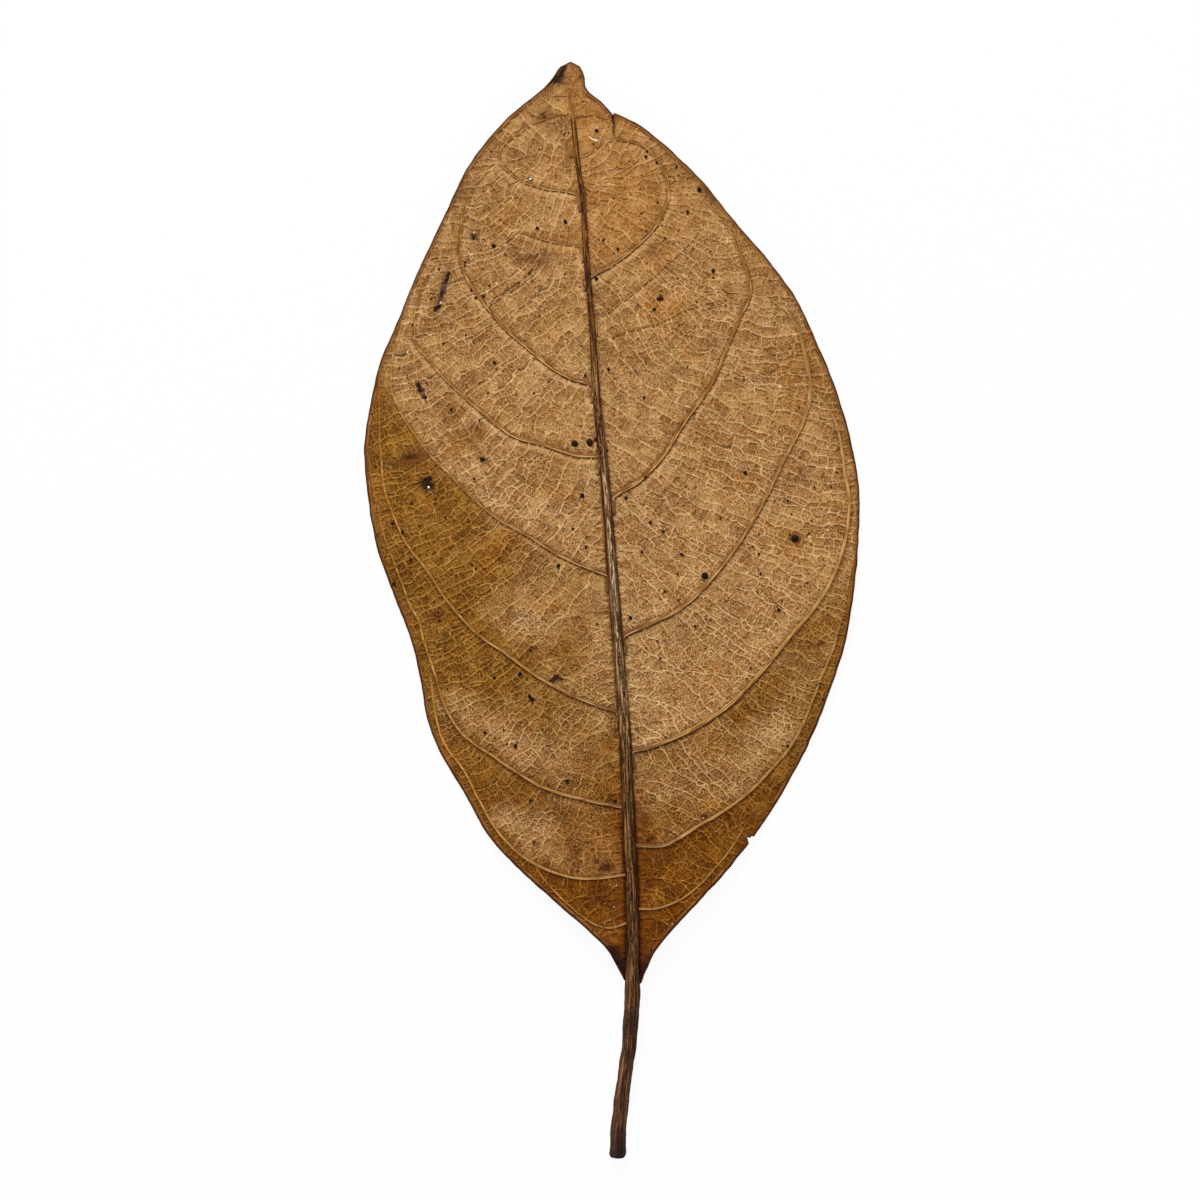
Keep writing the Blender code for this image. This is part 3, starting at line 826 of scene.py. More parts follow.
BROWN_STAINS = [
    (-14.3, 138.6, 1, 0.8, 0, 0.75), (-14.2, 138.2, 2.6, 1.5, 10, 0.4),
    (-11.2, 137.4, 1.2, 0.8, 0, 0.45), (-10.2, 131.6, 1.4, 0.9, 80, 0.45),
    (-23.5, 133, 2.2, 1.4, 50, 0.35), (-26.6, 127, 1.9, 1.3, 60, 0.4),
    (-25.4, 119.3, 0.7, 0.6, 80, 0.9), (-25.2, 120.6, 1.3, 0.8, 80, 0.4),
    (-15.5, 115.8, 2.8, 0.8, 3, 0.8), (-30.4, 110.8, 4.2, 1.3, 74, 0.4),
    (-36, 98, 1.1, 0.7, 120, 0.5), (-33.2, 91.4, 0.7, 0.5, 0, 0.45), (-29, 91.7, 1.7, 1.2, 20, 0.4),
    (-26.4, 87.6, 2.2, 1.2, 30, 0.35), (-25.8, 86.2, 0.8, 0.6, 0, 0.55),
    (-23.9, 83.6, 0.5, 0.35, 0, 0.95), (-22.4, 82.4, 1.6, 0.4, 140, 0.4),
    (-36, 83.9, 3.2, 1, 15, 0.6), (-34.8, 82.8, 1.2, 0.8, 120, 0.55),
    (-33.2, 84, 1.2, 0.5, 160, 0.55), (-38.5, 73.2, 0.9, 0.5, 0, 0.6),
    (-31.6, 58.4, 1.5, 1, 30, 0.55), (-29.8, 54.6, 1.2, 0.8, 0, 0.4), (-10, 51.6, 1, 0.7, 90, 0.4),
    (-4.1, 18.3, 1.1, 0.9, 0, 0.9), (-12.6, 17, 1.1, 0.7, 0, 0.75), (-5.8, 13.6, 1.4, 1.1, 0, 0.55),
    (-8.6, 12.5, 0.5, 0.4, 0, 0.65), (-3, 12, 0.9, 0.7, 0, 0.75), (3.2, 117, 0.9, 0.7, 0, 0.55),
    (3.4, 116.8, 1.7, 1.3, 0, 0.3), (6.4, 114, 1.6, 0.7, 0, 0.4), (5.6, 118.4, 0.9, 0.7, 0, 0.35),
    (12.3, 126.3, 1, 0.6, 140, 0.7), (12.6, 102.3, 1.6, 1.2, 0, 0.55),
    (10.2, 100.9, 1.2, 0.9, 0, 0.4), (7.3, 97.6, 2, 1, 30, 0.4), (17.5, 107.5, 1.3, 0.5, 60, 0.55),
    (-3.5, 107, 0.6, 0.4, 20, 0.7), (8, 105.3, 1.2, 0.8, 0, 0.3), (33, 88, 0.8, 0.6, 0, 0.65),
    (33.6, 82, 0.5, 0.3, 120, 0.8), (28.5, 80.5, 1.6, 1, 0, 0.3), (26.2, 71, 1.3, 1.1, 0, 0.75),
    (30.2, 54, 0.8, 0.6, 80, 0.65), (27.1, 51.6, 0.5, 0.3, 60, 0.65),
    (27.5, 50.6, 3.2, 0.3, 155, 0.5), (2.6, 41.3, 0.4, 0.35, 0, 0.65),
    (4.2, 41.8, 0.6, 0.5, 0, 0.55), (21, 38.8, 0.5, 0.35, 150, 0.55), (12, 33, 1.5, 0.9, 0, 0.4),
    (8.8, 31.8, 0.9, 0.6, 0, 0.55), (18.2, 31.6, 0.6, 0.4, 0, 0.55), (11.5, 26.5, 0.8, 0.6, 0, 0.8),
    (16, 29.2, 0.5, 0.4, 0, 0.65), (9.6, 27.4, 1, 0.6, 0, 0.4), (2, 26, 1.3, 1, 100, 0.65),
    (2.8, 22.9, 1, 0.7, 0, 0.65), (2.2, 20.2, 1.2, 0.8, 0, 0.55), (5.6, 19.7, 1, 0.7, 30, 0.65),
    (23.7, 31, 0.9, 0.6, 60, 0.75), (19, 26, 1.2, 0.5, 60, 0.45), (2.6, 10.9, 0.7, 0.4, 0, 0.65),
    (3, 16, 1.2, 0.5, 20, 0.45), (6.4, 14.6, 0.8, 0.4, 0, 0.4), (2.2, 3, 2.8, 1.5, 66, 0.95),
    (-2.4, 2.4, 1.8, 1.2, 115, 0.9), (1.9, 6.4, 1.6, 0.5, 80, 0.5),
]
BLACK_STAINS = [
    (-11.7, 144.6, 0.7, 0.45, 60, 0.8), (-11, 146.2, 0.9, 0.35, 50, 0.85),
    (-3, 4.2, 2.4, 1.25, 130, 0.95), (-1.7, 1.9, 1.8, 0.85, 115, 0.9), (1.8, 1.7, 2, 0.8, 70, 0.85),
    (-33.2, 80.3, 0.9, 0.5, 20, 0.75), (-32.8, 79.3, 0.9, 0.8, 0, 0.8),
    (-12, 48.8, 0.6, 0.5, 40, 0.8), (26.1, 71, 0.6, 0.5, 0, 0.7),
    (-25.4, 119.3, 0.6, 0.45, 80, 0.6), (-23.9, 83.6, 0.5, 0.4, 0, 0.7),
    (-2.7, 138.3, 0.7, 0.45, 110, 0.6),
]
RING = (6.25, 128.45, 0.62, 0.15)  # a round scar: (x, y, radius, half width)
# Marks with a crisp edge: (x, y, half length, half width, turn in degrees).
PURPLE_BLOTS = [
    (-30.35, 110.8, 3.4, 0.5, 74), (-33.9, 94.7, 1.7, 0.5, 120), (-11.6, 144.7, 1.1, 0.5, 60),
]
RUSTY_BLOTS = [
    (-35.9, 84.1, 1.3, 0.5, 8), (30.2, 54.1, 0.7, 0.3, 20), (-32.6, 79.7, 1.1, 1, 0),
    (-14, 138.6, 0.3, 0.5, 20), (-4.1, 18.3, 0.8, 0.5, 20), (11.6, 26.4, 0.5, 0.35, 0),
    (2.9, 22.9, 0.8, 0.35, 30), (-5.6, 19.3, 0.5, 0.3, 60), (-11.2, 138.8, 1.7, 0.12, -3),
    (-7.6, 138.6, 1.5, 0.12, 8), (-5, 138.4, 1.2, 0.12, -12), (-11, 141.9, 2, 0.1, 0),
]
BLACK_BLOTS = [
    (-29.7, 112.8, 0.9, 0.26, 70), (-31.3, 108, 0.65, 0.4, 30), (-30.5, 110.5, 0.9, 0.2, 76),
    (-34.2, 95.2, 0.8, 0.3, 120), (-33.3, 93.6, 0.5, 0.3, 100), (-32.9, 80.3, 0.8, 0.5, 15),
    (-32.2, 79.7, 0.6, 0.2, 150), (-25.4, 119.3, 0.4, 0.3, 80), (-12.9, 48.1, 0.6, 0.36, 20),
    (-12.2, 48.7, 0.45, 0.45, 60), (-11.4, 48.5, 0.4, 0.26, 0), (-11.4, 145.7, 1.3, 0.22, 52),
    (-7.5, 112.2, 0.35, 0.3, 0), (-16.3, 128.6, 0.38, 0.32, 0), (-12.4, 144.4, 0.55, 0.35, 10),
    (-11.1, 146, 1, 0.36, 56), (-3, 138, 0.75, 0.1, 100), (-2.9, 136.6, 0.85, 0.08, 84),
    (-22.8, 75.1, 0.5, 0.2, 40),
]
PALE_BLOTS = [
    (-6.6, 135.15, 0.32, 0.12, 140), (-6, 134.85, 0.42, 0.13, 165), (-30.7, 108.9, 0.3, 0.1, 60),
    (-16.3, 128.6, 0.2, 0.16, 0), (-25.3, 120.1, 0.2, 0.14, 30), (-4.3, 17.4, 0.12, 0.09, 50),
    (-2.9, 12, 0.11, 0.07, 0), (-2.5, 15.4, 0.14, 0.06, 80), (6.4, 9.3, 0.14, 0.08, 40),
    (11.4, 26.2, 0.11, 0.08, 0), (16.8, 34.7, 0.14, 0.08, 30), (2.6, 50.4, 0.14, 0.1, 0),
    (-2.4, 92.8, 0.14, 0.1, 0),
]

# How far the dark of the margin reaches in at heights along each side.
EDGE_REACH = {
    "left": [
        (0, 0.9), (20, 0.75), (36, 0.6), (60, 0.6), (70, 0.9), (85, 0.8), (98, 0.5), (124, 0.45),
        (128, 0.8), (138, 0.6), (147, 0.4),
    ],
    "right": [
        (0, 0.9), (10, 0.8), (20, 1.1), (33, 1.3), (39, 0.8), (50, 0.5), (100, 0.45), (115, 0.55),
        (123, 0.6), (126, 1.2), (133, 1.1), (136, 0.5),
    ],
}
# Raised black dots of a leaf fungus: (x, y, radius).
DOTS = [
    (-9.2, 86.1, 0.5), (-6.8, 86.3, 0.52), (-5.8, 86.8, 0.3), (11.6, 65, 0.58), (26.1, 71, 0.6),
    (4.6, 109.4, 0.42), (4.3, 109.4, 0.3), (-22.2, 117.9, 0.32), (-10.7, 121.7, 0.34),
    (13, 113.9, 0.34), (10.8, 127, 0.36), (18.1, 81.5, 0.3), (-1, 77.4, 0.26), (2.9, 73.5, 0.28),
    (5, 72.1, 0.24), (7.9, 68.4, 0.26), (-0.3, 58.3, 0.3), (-8, 77.8, 0.34), (-18, 49.3, 0.32),
    (-16.4, 45.7, 0.28), (-16, 45.2, 0.34), (-18.7, 37.7, 0.32), (-20.1, 38, 0.2),
    (-23.6, 39.8, 0.28), (-10.4, 32.1, 0.28), (-11.8, 66.6, 0.32), (-7.4, 69.6, 0.24),
    (-5.7, 112.5, 0.3), (-38.2, 63.8, 0.28), (-29, 91.7, 0.24), (-36.8, 72, 0.28),
    (-35.5, 67.6, 0.24), (-3.8, 98, 0.28), (-22.1, 99.2, 0.24), (-4.6, 118.7, 0.24),
    (-2.3, 117.3, 0.24), (2.2, 132.2, 0.22), (8.9, 123.4, 0.26), (-15.2, 120.7, 0.24),
    (2.1, 80.7, 0.24), (1.9, 93.5, 0.22), (-2.7, 29, 0.26), (-16.3, 29, 0.26), (-7.5, 97, 0.24),
    (29.3, 79.2, 0.2), (3.5, 107.6, 0.26), (-5.7, 136.4, 0.24), (14.1, 74.2, 0.18), (25, 37.7, 0.2),
    (-9.5, 72.5, 0.2), (-38.4, 73.4, 0.22), (-24, 83.65, 0.34), (-35.3, 76.6, 0.22),
    (-31.5, 77.3, 0.2), (-29.9, 74.3, 0.18), (-25.3, 80.5, 0.2), (-26.8, 115.3, 0.19),
    (-26.8, 114.8, 0.19), (-22.9, 111.5, 0.2), (-23.8, 109.8, 0.24), (-25.1, 109.6, 0.2),
    (-25.8, 110.8, 0.18), (-30.3, 102.3, 0.2), (-35.3, 105.4, 0.18), (-31, 114.2, 0.2),
    (-32.3, 109.5, 0.16), (-20.3, 116.5, 0.17), (1.6, 68.8, 0.2), (32, 79.3, 0.15),
    (20.3, 68.5, 0.18), (20.6, 65.3, 0.18), (20.3, 71.6, 0.15), (19.3, 69.7, 0.15),
    (23.5, 59.5, 0.22), (28, 63.9, 0.15), (10.1, 56.9, 0.22), (7.4, 61.1, 0.19), (4.5, 61.3, 0.15),
    (5.2, 62.5, 0.19), (7.3, 65.3, 0.18), (4.5, 51.8, 0.2), (4, 54.6, 0.18), (19, 50.3, 0.18),
    (25.6, 74.9, 0.15), (28.8, 73.8, 0.15), (2.4, 133.1, 0.2), (3.9, 131.3, 0.16),
]
# Holes right through the blade: (x, y).
PINHOLES = [(-32.65, 79.2)]
PINHOLE_RADIUS = 0.2


def swayed(points, size, pace):
    """The points shifted by slow noise, so that marks get uneven outlines."""
    shift = [[size * rough(x, y, pace, layer) for layer in (21, 33)] for x, y in points]
    return points + np.array(shift)


def covered(places, marks, softness):
    """How much of each place is covered by any of these marks, 0 to 1."""
    clear = np.ones(len(places))
    for x, y, half_length, half_width, degrees, strength in marks:
        turn = math.radians(degrees)
        c, s = math.cos(turn), math.sin(turn)
        dx, dy = (places - (x, y)).T
        reach = np.hypot((dx * c + dy * s) / half_length, (dy * c - dx * s) / half_width)
        clear *= 1 - strength * 0.5 ** (reach**softness)
    return 1 - clear


def tint(points, marks):
    """Broad tints that fade out softly."""
    return covered(swayed(swayed(points, 1.2, 0.16), 0.5, 0.7), marks, 2.0)


def stain(points, marks):
    """Small stains with a clearer edge."""
    return covered(swayed(points, 0.4, 1.1), marks, 3.0)


# ---------------------------------------------------------------- the pieces


def on_leaf(points):
    """Leaf-frame millimetres in the CAD's frame, in metres."""
    low, high = cad_box
    shift = np.array([low.x - LEAF_LOW_X * MM, high.y - LEAF_HIGH_Y * MM, low.z])
    return np.asarray(points, float) * MM + shift


def add(name, data):
    """A new object in the scene."""
    thing = bpy.data.objects.new(name, data)
    bpy.context.scene.collection.objects.link(thing)
    return thing


def piece(name, vertices, faces, materials, traits, slots=None):
    """A smooth mesh that rides on the leaf's body, with its named point values."""
    mesh = bpy.data.meshes.new(name)
    mesh.from_pydata(on_leaf(vertices).tolist(), [], faces)
    for material in materials:
        mesh.materials.append(material)
    if slots is not None:
        mesh.polygons.foreach_set("material_index", slots)
    for key, values in traits.items():
        layer = mesh.attributes.new(key, "FLOAT", "POINT")
        layer.data.foreach_set("value", np.asarray(values, np.float32))
    mesh.shade_smooth()
    mesh.update()
    thing = add(name, mesh)
    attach(thing, "root")
    return thing


def flat_map(thing, turned_over):
    """Maps the piece from above, its underside beside its top, so that baking keeps lines."""
    mesh = thing.data
    spots = np.empty(len(mesh.vertices) * 3)
    mesh.vertices.foreach_get("co", spots)
    spots = spots.reshape(-1, 3)[:, :2]
    size = spots.max(0) - spots.min(0)
    share = (spots - spots.min(0)) / size.max()
    corners = np.empty(len(mesh.loops), int)
    mesh.loops.foreach_get("vertex_index", corners)
    under = np.repeat(turned_over, [len(face.vertices) for face in mesh.polygons])
    width = size[0] / size.max()
    places = share[corners] * 0.98 + 0.01
    places[:, 0] = places[:, 0] * 0.5 / max(width, 0.5)
    places[under, 0] = 1.0 - places[under, 0]
    layer = mesh.uv_layers.new(name="OFBake")
    layer.data.foreach_set("uv", places.ravel().astype(np.float32))


def cell_hollow(net, loop):
    """The ring inside a cell's rim, drawn in by the width of its veins, and its middle."""
    spots = net.spots(loop)
    turns = pairs(spots)
    crosses = [ax * by - bx * ay for (ax, ay), (bx, by) in turns]
    total = sum(crosses) or 1e-9
    cx = sum((a[0] + b[0]) * w for (a, b), w in zip(turns, crosses)) / (3 * total)
    cy = sum((a[1] + b[1]) * w for (a, b), w in zip(turns, crosses)) / (3 * total)
    if total < 0.05 or not net.holds(loop, (cx, cy)):
        cx, cy = centre(spots)
    pull = []
    for ((ax, ay), (bx, by)), ends in zip(turns, pairs(loop)):
        length = math.hypot(bx - ax, by - ay) or 1e-9
        height = abs((bx - ax) * (cy - ay) - (by - ay) * (cx - ax)) / length
        order, strength = net.veins[edge(*ends)]
        width = HALF_WIDTH[order] * (0.6 + 0.4 * strength)
        pull.append(min(0.5, width / max(height, 0.05)))
    shares = [(before + after) / 2 for before, after in zip(pull[-1:] + pull[:-1], pull)]
    ring = [(x + (cx - x) * k, y + (cy - y) * k) for (x, y), k in zip(spots, shares)]
    return ring, (cx, cy)


def slimness(spots):
    """How narrow a cell is: 0 for an open one, 1 for a mere slit."""
    girth = sum(math.dist(a, b) for a, b in pairs(spots))
    area = abs(polygon_area(spots))
    stretched = girth**2 / (16 * area + 1e-6)  # 1 for a square
    reach = 0.2 + 0.2 * min(1.0, max(0.0, (stretched - 1.4) / 1.2))
    return min(1.0, max(0.0, 1.4 - 2 * area / girth / reach))


def around_hole(net, loop, spot):
    """The ring of a small hole in a cell, with a corner towards each of the cell's."""
    ring = []
    for x, y in net.spots(loop):
        reach = math.dist((x, y), spot) or 1e-9
        share = min(PINHOLE_RADIUS, 0.6 * reach) / reach
        ring.append((spot[0] + (x - spot[0]) * share, spot[1] + (y - spot[1]) * share))
    return ring


def crest_traits(net, index):
    """How high each shared point stands, how strongly its vein shows, and which are margin."""
    lift, vein = np.zeros(len(index)), np.zeros(len(index))
    rim, cracked = np.zeros(len(index), bool), np.zeros(len(index), bool)
    for ends, (order, strength) in net.veins.items():
        for n in (index[p] for p in ends if p in index):
            lift[n] = max(lift[n], RIDGE[order] * (0.3 + 0.7 * strength))
            vein[n] = max(vein[n], LINE_TONE[order] * strength)
            rim[n] |= order == 0
            cracked[n] |= order == CRACK
    lift[cracked], vein[cracked] = RIDGE[CRACK], 0.0
    vein[rim] = 0.0
    return lift, vein, rim


def skin_faces(walls, starts, under_ring):
    """The faces of both skins and of the edge between them, and each one's material slot.

    Each wall has the shared points around a cell. The starts are the first inner point, the
    first middle, and the first shared point and middle of the underside.
    """
    at, first_middle, first_under, first_under_middle = starts
    faces, slots = [], []
    open_edges = {}
    for number, wall in enumerate(walls):
        n = len(wall)
        for k in range(n):
            a, b = wall[k], wall[(k + 1) % n]
            c, d = at + k, at + (k + 1) % n
            ua, ub = first_under + a, first_under + b
            faces.append((a, b, d, c))
            if c in under_ring:
                uc, ud = under_ring[c], under_ring[d]
                faces += [(c, d, ud, uc), (ub, ua, uc, ud)]
            else:
                faces += [(c, d, first_middle + number), (ub, ua, first_under_middle + number)]
            slots += [0, 0, 1]
            if (b, a) in open_edges:
                del open_edges[b, a]
            else:
                open_edges[a, b] = True
        at += n
    for a, b in open_edges:
        faces.append((b, a, first_under + a, first_under + b))
        slots.append(0)
    return faces, slots


def place_traits(points, zones, side, spine, margin, lines):
    """The named values that come from where on the leaf each point lies."""
    height = points[:, 1]
    gap, _ = nearest(points, margin)
    crack, _ = nearest(points, np.array(TEAR))
    rib, _ = nearest(points, spine)
    rib_edge = np.clip(rib - at_height(height, RIB_RADIUS), 0, None)
    shade_beside_vein, light_below_vein = vein_shade_and_light(points, lines)
    pale = tint(points, PALE_TINTS)
    ochre = zones + tint(points, OCHRE_TINTS) * np.clip(zones / 0.3, 0.3, 1) - 0.5 * pale

    def near_rib(reach):
        return np.exp(-((rib_edge / reach) ** 2))

    return {
        "ochre": np.clip(ochre, 0, 1.2),
        "warm": tint(points, WARM_TINTS),
        "pale": pale,
        "brown": stain(points, BROWN_STAINS),
        "black": np.maximum(stain(points, BLACK_STAINS), np.clip(1.4 - crack / 0.14, 0, 0.95)),
        "edge": np.exp(-gap / at_height(height, EDGE_REACH[side])),
        "foot": at_height(height, FOOT),
        "crisp": at_height(height, CRISPNESS[side]),
        "patchy": at_height(height, PATCHINESS[side]),
        "fringe": near_rib(1.2) * at_height(height, FRINGE),
        "rib_glow": near_rib(1.5) * at_height(height, RIB_GLOW),
        # painted shade against the side veins, and painted light just below them
        "shade_beside_vein": shade_beside_vein,
        "light_below_vein": light_below_vein,
        # painted shade on the blade against the midrib
        "shade_beside_rib": at_height(height, RIB_SHADE[side])
        * near_rib(at_height(height, RIB_SHADE_REACH)),
    }


def make_half_blade(side, spine, margin, veins, lines, materials):
    """One half of the blade: its veined upper skin, its smoother lower skin and its edge."""
    net, cells = divide_half(side, spine, margin)
    used = sorted({p for cell in cells for p in cell[0]})
    index = {p: n for n, p in enumerate(used)}
    crest = np.array(net.spots(used))
    lift, vein, rim = crest_traits(net, index)
    rings, middles, pierced = [], [], []
    for loop, *_ in cells:
        ring, middle = cell_hollow(net, loop)
        hole = [spot for spot in PINHOLES if math.dist(spot, middle) < 2]
        hole = [spot for spot in hole if net.holds(loop, spot)]
        rings.append(around_hole(net, loop, hole[0]) if hole else ring)
        middles.append(middle)
        pierced += [bool(hole)] * len(ring)
    inner = np.array([spot for ring in rings for spot in ring])
    middles = np.array(middles)
    below = np.flatnonzero(pierced)  # the inner points that come back on the underside

    # for every inner point: which cell it is in, and which wall point it was drawn in from
    sizes = [len(ring) for ring in rings]
    rank = np.repeat(np.arange(len(cells)), sizes)
    walls = [[index[p] for p in loop] for loop, *_ in cells]
    rims = np.concatenate(walls)
    firsts = np.r_[0, np.cumsum(sizes)[:-1]]
    rim_lift, rim_vein = (np.add.reduceat(v[rims], firsts) / sizes for v in (lift, vein))
    slim = np.array([slimness(net.spots(loop)) for loop, *_ in cells])
    narrow = slim[rank]

    top_crest, top_inner, top_middle = (lie(spots, veins) for spots in (crest, inner, middles))
    top_inner += 0.8 * narrow * lift[rims]
    dips = np.array([random.uniform(0.0, DEEPEST_DIP) for _ in cells])
    layers = [
        (crest, top_crest + lift),
        (inner, top_inner - SINK),
        (middles, top_middle - SINK - dips * (1 - slim) + 0.8 * slim * rim_lift),
        (crest, top_crest - np.where(rim, EDGE_THICKNESS, BLADE_THICKNESS)),
        (middles, top_middle - BLADE_THICKNESS + SINK),
        (inner[below], top_inner[below] - BLADE_THICKNESS),
    ]
    vertices = np.vstack([np.column_stack(layer) for layer in layers])
    starts = np.cumsum([len(spots) for spots, _ in layers])
    count, first_middle, first_under, first_under_middle, first_below = starts[:5].tolist()
    under_ring = {int(n) + count: k + first_below for k, n in enumerate(below)}
    faces, slots = skin_faces(
        walls, (count, first_middle, first_under, first_under_middle), under_ring
    )

    def spread(k):
        """A cell's value on its own points, and the mean of the cells that share a point."""
        values = np.array([cell[k] for cell in cells])
        total, shared = np.zeros(count), np.zeros(count)
        np.add.at(total, rims, values[rank])
        np.add.at(shared, rims, 1.0)
        on_crest, on_ring = total / shared, values[rank]
        return np.concatenate([on_crest, on_ring, values, on_crest, values, on_ring[below]])

    veined = np.zeros(len(vertices))
    veined[:count] = veined[first_under:first_under_middle] = vein
    # the ring inside each wall: painted shade beside the line, or line colour in slim cells
    veined[count:first_middle] = (narrow * (0.6 + LINE_SHADE) - LINE_SHADE) * vein[rims]
    veined[first_middle:first_under] = 0.6 * slim * rim_vein
    points = vertices[:, :2]
    tone = spread(1) - 0.45 * tint(points, DEEP_TINTS) + 0.45 * tint(points, LIT_TINTS)
    traits = {"vein": veined, "tone": tone, "red": spread(2)}
    traits |= place_traits(points, spread(3), side, spine, margin, lines)
    half = piece(f"blade_{side}", vertices, faces, materials, traits, slots)
    flat_map(half, np.array(slots) == 1)
    return half


def around(sides):
    """The turns of this many points around a ring."""
    return np.linspace(0, 2 * math.pi, sides, endpoint=False)


def closed_tube(path, radius, sides, bumps=0.0):
    """Vertices and faces of a closed tube along a 3-D path, with changes to its radius."""
    ahead = headings(path)
    across = np.cross(ahead, (0, 0, 1))
    across /= np.linalg.norm(across, axis=1)[:, None]
    over = np.cross(across, ahead)
    size = np.repeat(radius[:, None], sides, axis=1) + bumps
    rings = (
        path[:, None]
        + size[..., None] * across[:, None] * np.cos(around(sides))[None, :, None]
        + size[..., None] * over[:, None] * np.sin(around(sides))[None, :, None]
    )
    vertices = np.vstack([rings.reshape(-1, 3), path[:1], path[-1:]])
    faces = []
    for ring in range(len(path) - 1):
        for k in range(sides):
            a, b = ring * sides + k, ring * sides + (k + 1) % sides
            faces.append((a, b, b + sides, a + sides))
    last = (len(path) - 1) * sides
    for k in range(sides):
        faces.append(((k + 1) % sides, k, len(vertices) - 2))
        faces.append((last + k, last + (k + 1) % sides, len(vertices) - 1))
    return vertices, faces


def rib_profile():
    """The line and radius of the midrib and stalk, from the cut end to the tip."""
    line = np.vstack([smooth_path(STALK, RIB_STEP), smooth_path(MIDRIB, RIB_STEP)[1:]])
    y = line[:, 1]
    radius = at_height(y, RIB_RADIUS)
    height = midrib_height(y) + RIB_PROUD * radius
    down = np.clip(y / STALK[0][1], 0, 1)
    height += (radius[0] - height) * down**STALK_DROOP
    return np.column_stack([line, height]), radius


def make_rib(material):
    """The midrib and stalk, wrinkled lengthwise as a dried stalk is."""
    path, radius = rib_profile()
    turns = around(RIB_SIDES)
    along = run_lengths(path)
    fibre = np.empty((len(path), RIB_SIDES))
    for i, s in enumerate(along):
        for k, turn in enumerate(turns):
            c, t = math.cos(turn), math.sin(turn)
            wide = noise.noise(Vector((c * 1.9, t * 1.9, s * 0.10)))
            fine = noise.noise(Vector((c * 4.2, t * 4.2, s * 0.28 + 40)))
            knots = noise.noise(Vector((c * 2.4, t * 2.4, s * 0.9 + 80)))
            fibre[i, k] = 0.8 * wide + 0.8 * fine + 0.35 * knots
    bumps = fibre * radius[:, None] * 0.2
    vertices, faces = closed_tube(path, radius, RIB_SIDES, bumps)
    vertices[:, 2] = np.maximum(vertices[:, 2], CLEAR_OF_FLOOR)
    wide = np.tile(np.cos(turns), len(path))
    traits = {
        "fibre": np.r_[fibre.ravel(), 0, 0],
        "run": np.r_[np.repeat(along, RIB_SIDES), 0, along[-1]],
        "flank": np.r_[wide, 0, 0],
        "off": np.r_[wide * np.repeat(radius, RIB_SIDES), 0, 0],
    }
    return piece("midrib_and_stalk", vertices, faces, [material], traits)


class VeinLine:
    """A side vein's path and half width, from where it leaves the midrib's flank."""

    def __init__(self, foot, tip, faint, points):
        x, y = points[0]
        self.side = -1 if points[-1][0] < x else 1
        self.low = float(np.clip((88 - y) / 50, 0.1, 1.0))  # how much it is a low, pale one
        self.bold = float(np.clip((foot - 0.14) / 0.16, 0.0, 1.0))
        beside = []
        for down in (RUN_DOWN, RUN_DOWN / 2) if y > RUN_DOWN_ABOVE else ():
            out = at_height(y - down, RIB_RADIUS) + RUN_DOWN_GAP
            beside.append((midrib_x(y - down) + self.side * out, y - down))
        self.path = smooth_path([*beside, *points], RIDGE_STEP)
        self.lengths = run_lengths(self.path)
        self.share = self.lengths / self.lengths[-1]
        start = self.lengths[np.abs(self.path - points[0]).sum(1).argmin()]
        strong = self.lengths[np.abs(self.path - points[-1 - faint]).sum(1).argmin()]
        stops = [0, start, start + 0.5, strong, self.lengths[-1]]
        half = np.interp(self.lengths, stops, [foot * 0.6, foot * 0.95, foot, tip, tip * 0.5])
        wobble = [noise.noise(Vector((s * 0.6, foot * 90, 2.0))) for s in self.lengths]
        self.half = half * (1 + 0.2 * np.array(wobble))
        past = np.clip(self.lengths - start, 0, None)
        self.root = self.bold**2 * np.exp(-((past / (1.8 + 3.6 * self.low)) ** 2))


def vein_shade_and_light(points, lines):
    """How much painted shade each point takes against a side vein, and painted light just below
    one.
    """
    dark, glow = np.zeros(len(points)), np.zeros(len(points))
    for line in lines:
        path = line.path
        low, high = path.min(0) - 2, path.max(0) + 2
        near = np.flatnonzero(((points > low) & (points < high)).all(1))
        gap, share = nearest(points[near], path)
        at = share * (len(path) - 1)
        steps = np.arange(len(path))
        below = points[near, 1] < np.interp(at, steps, path[:, 1])
        width = np.interp(at, steps, line.half)
        clear = np.clip(gap - width, 0, None)
        # painted shade beside the vein, reaching further on its lower side
        reach = np.where(below, 0.18 + 0.16 * line.low, 0.18)
        amount = np.where(below, 0.3 + 0.8 * line.low, 0.35 + 0.3 * line.low) * line.bold
        fade = 1 - 0.65 * np.clip(np.interp(at, steps, line.share) * 1.6 - 0.4, 0, 1)
        fade *= np.clip(width / 0.2, 0, 1)
        dark[near] = np.maximum(dark[near], amount * fade * np.exp(-((clear / reach) ** 2)))
        # painted light in a band just below the higher veins
        lit = below * (1.1 - line.low) * line.bold * fade
        glow[near] = np.maximum(glow[near], lit * np.exp(-(((clear - 0.4) / 0.35) ** 2)))
    return dark, glow


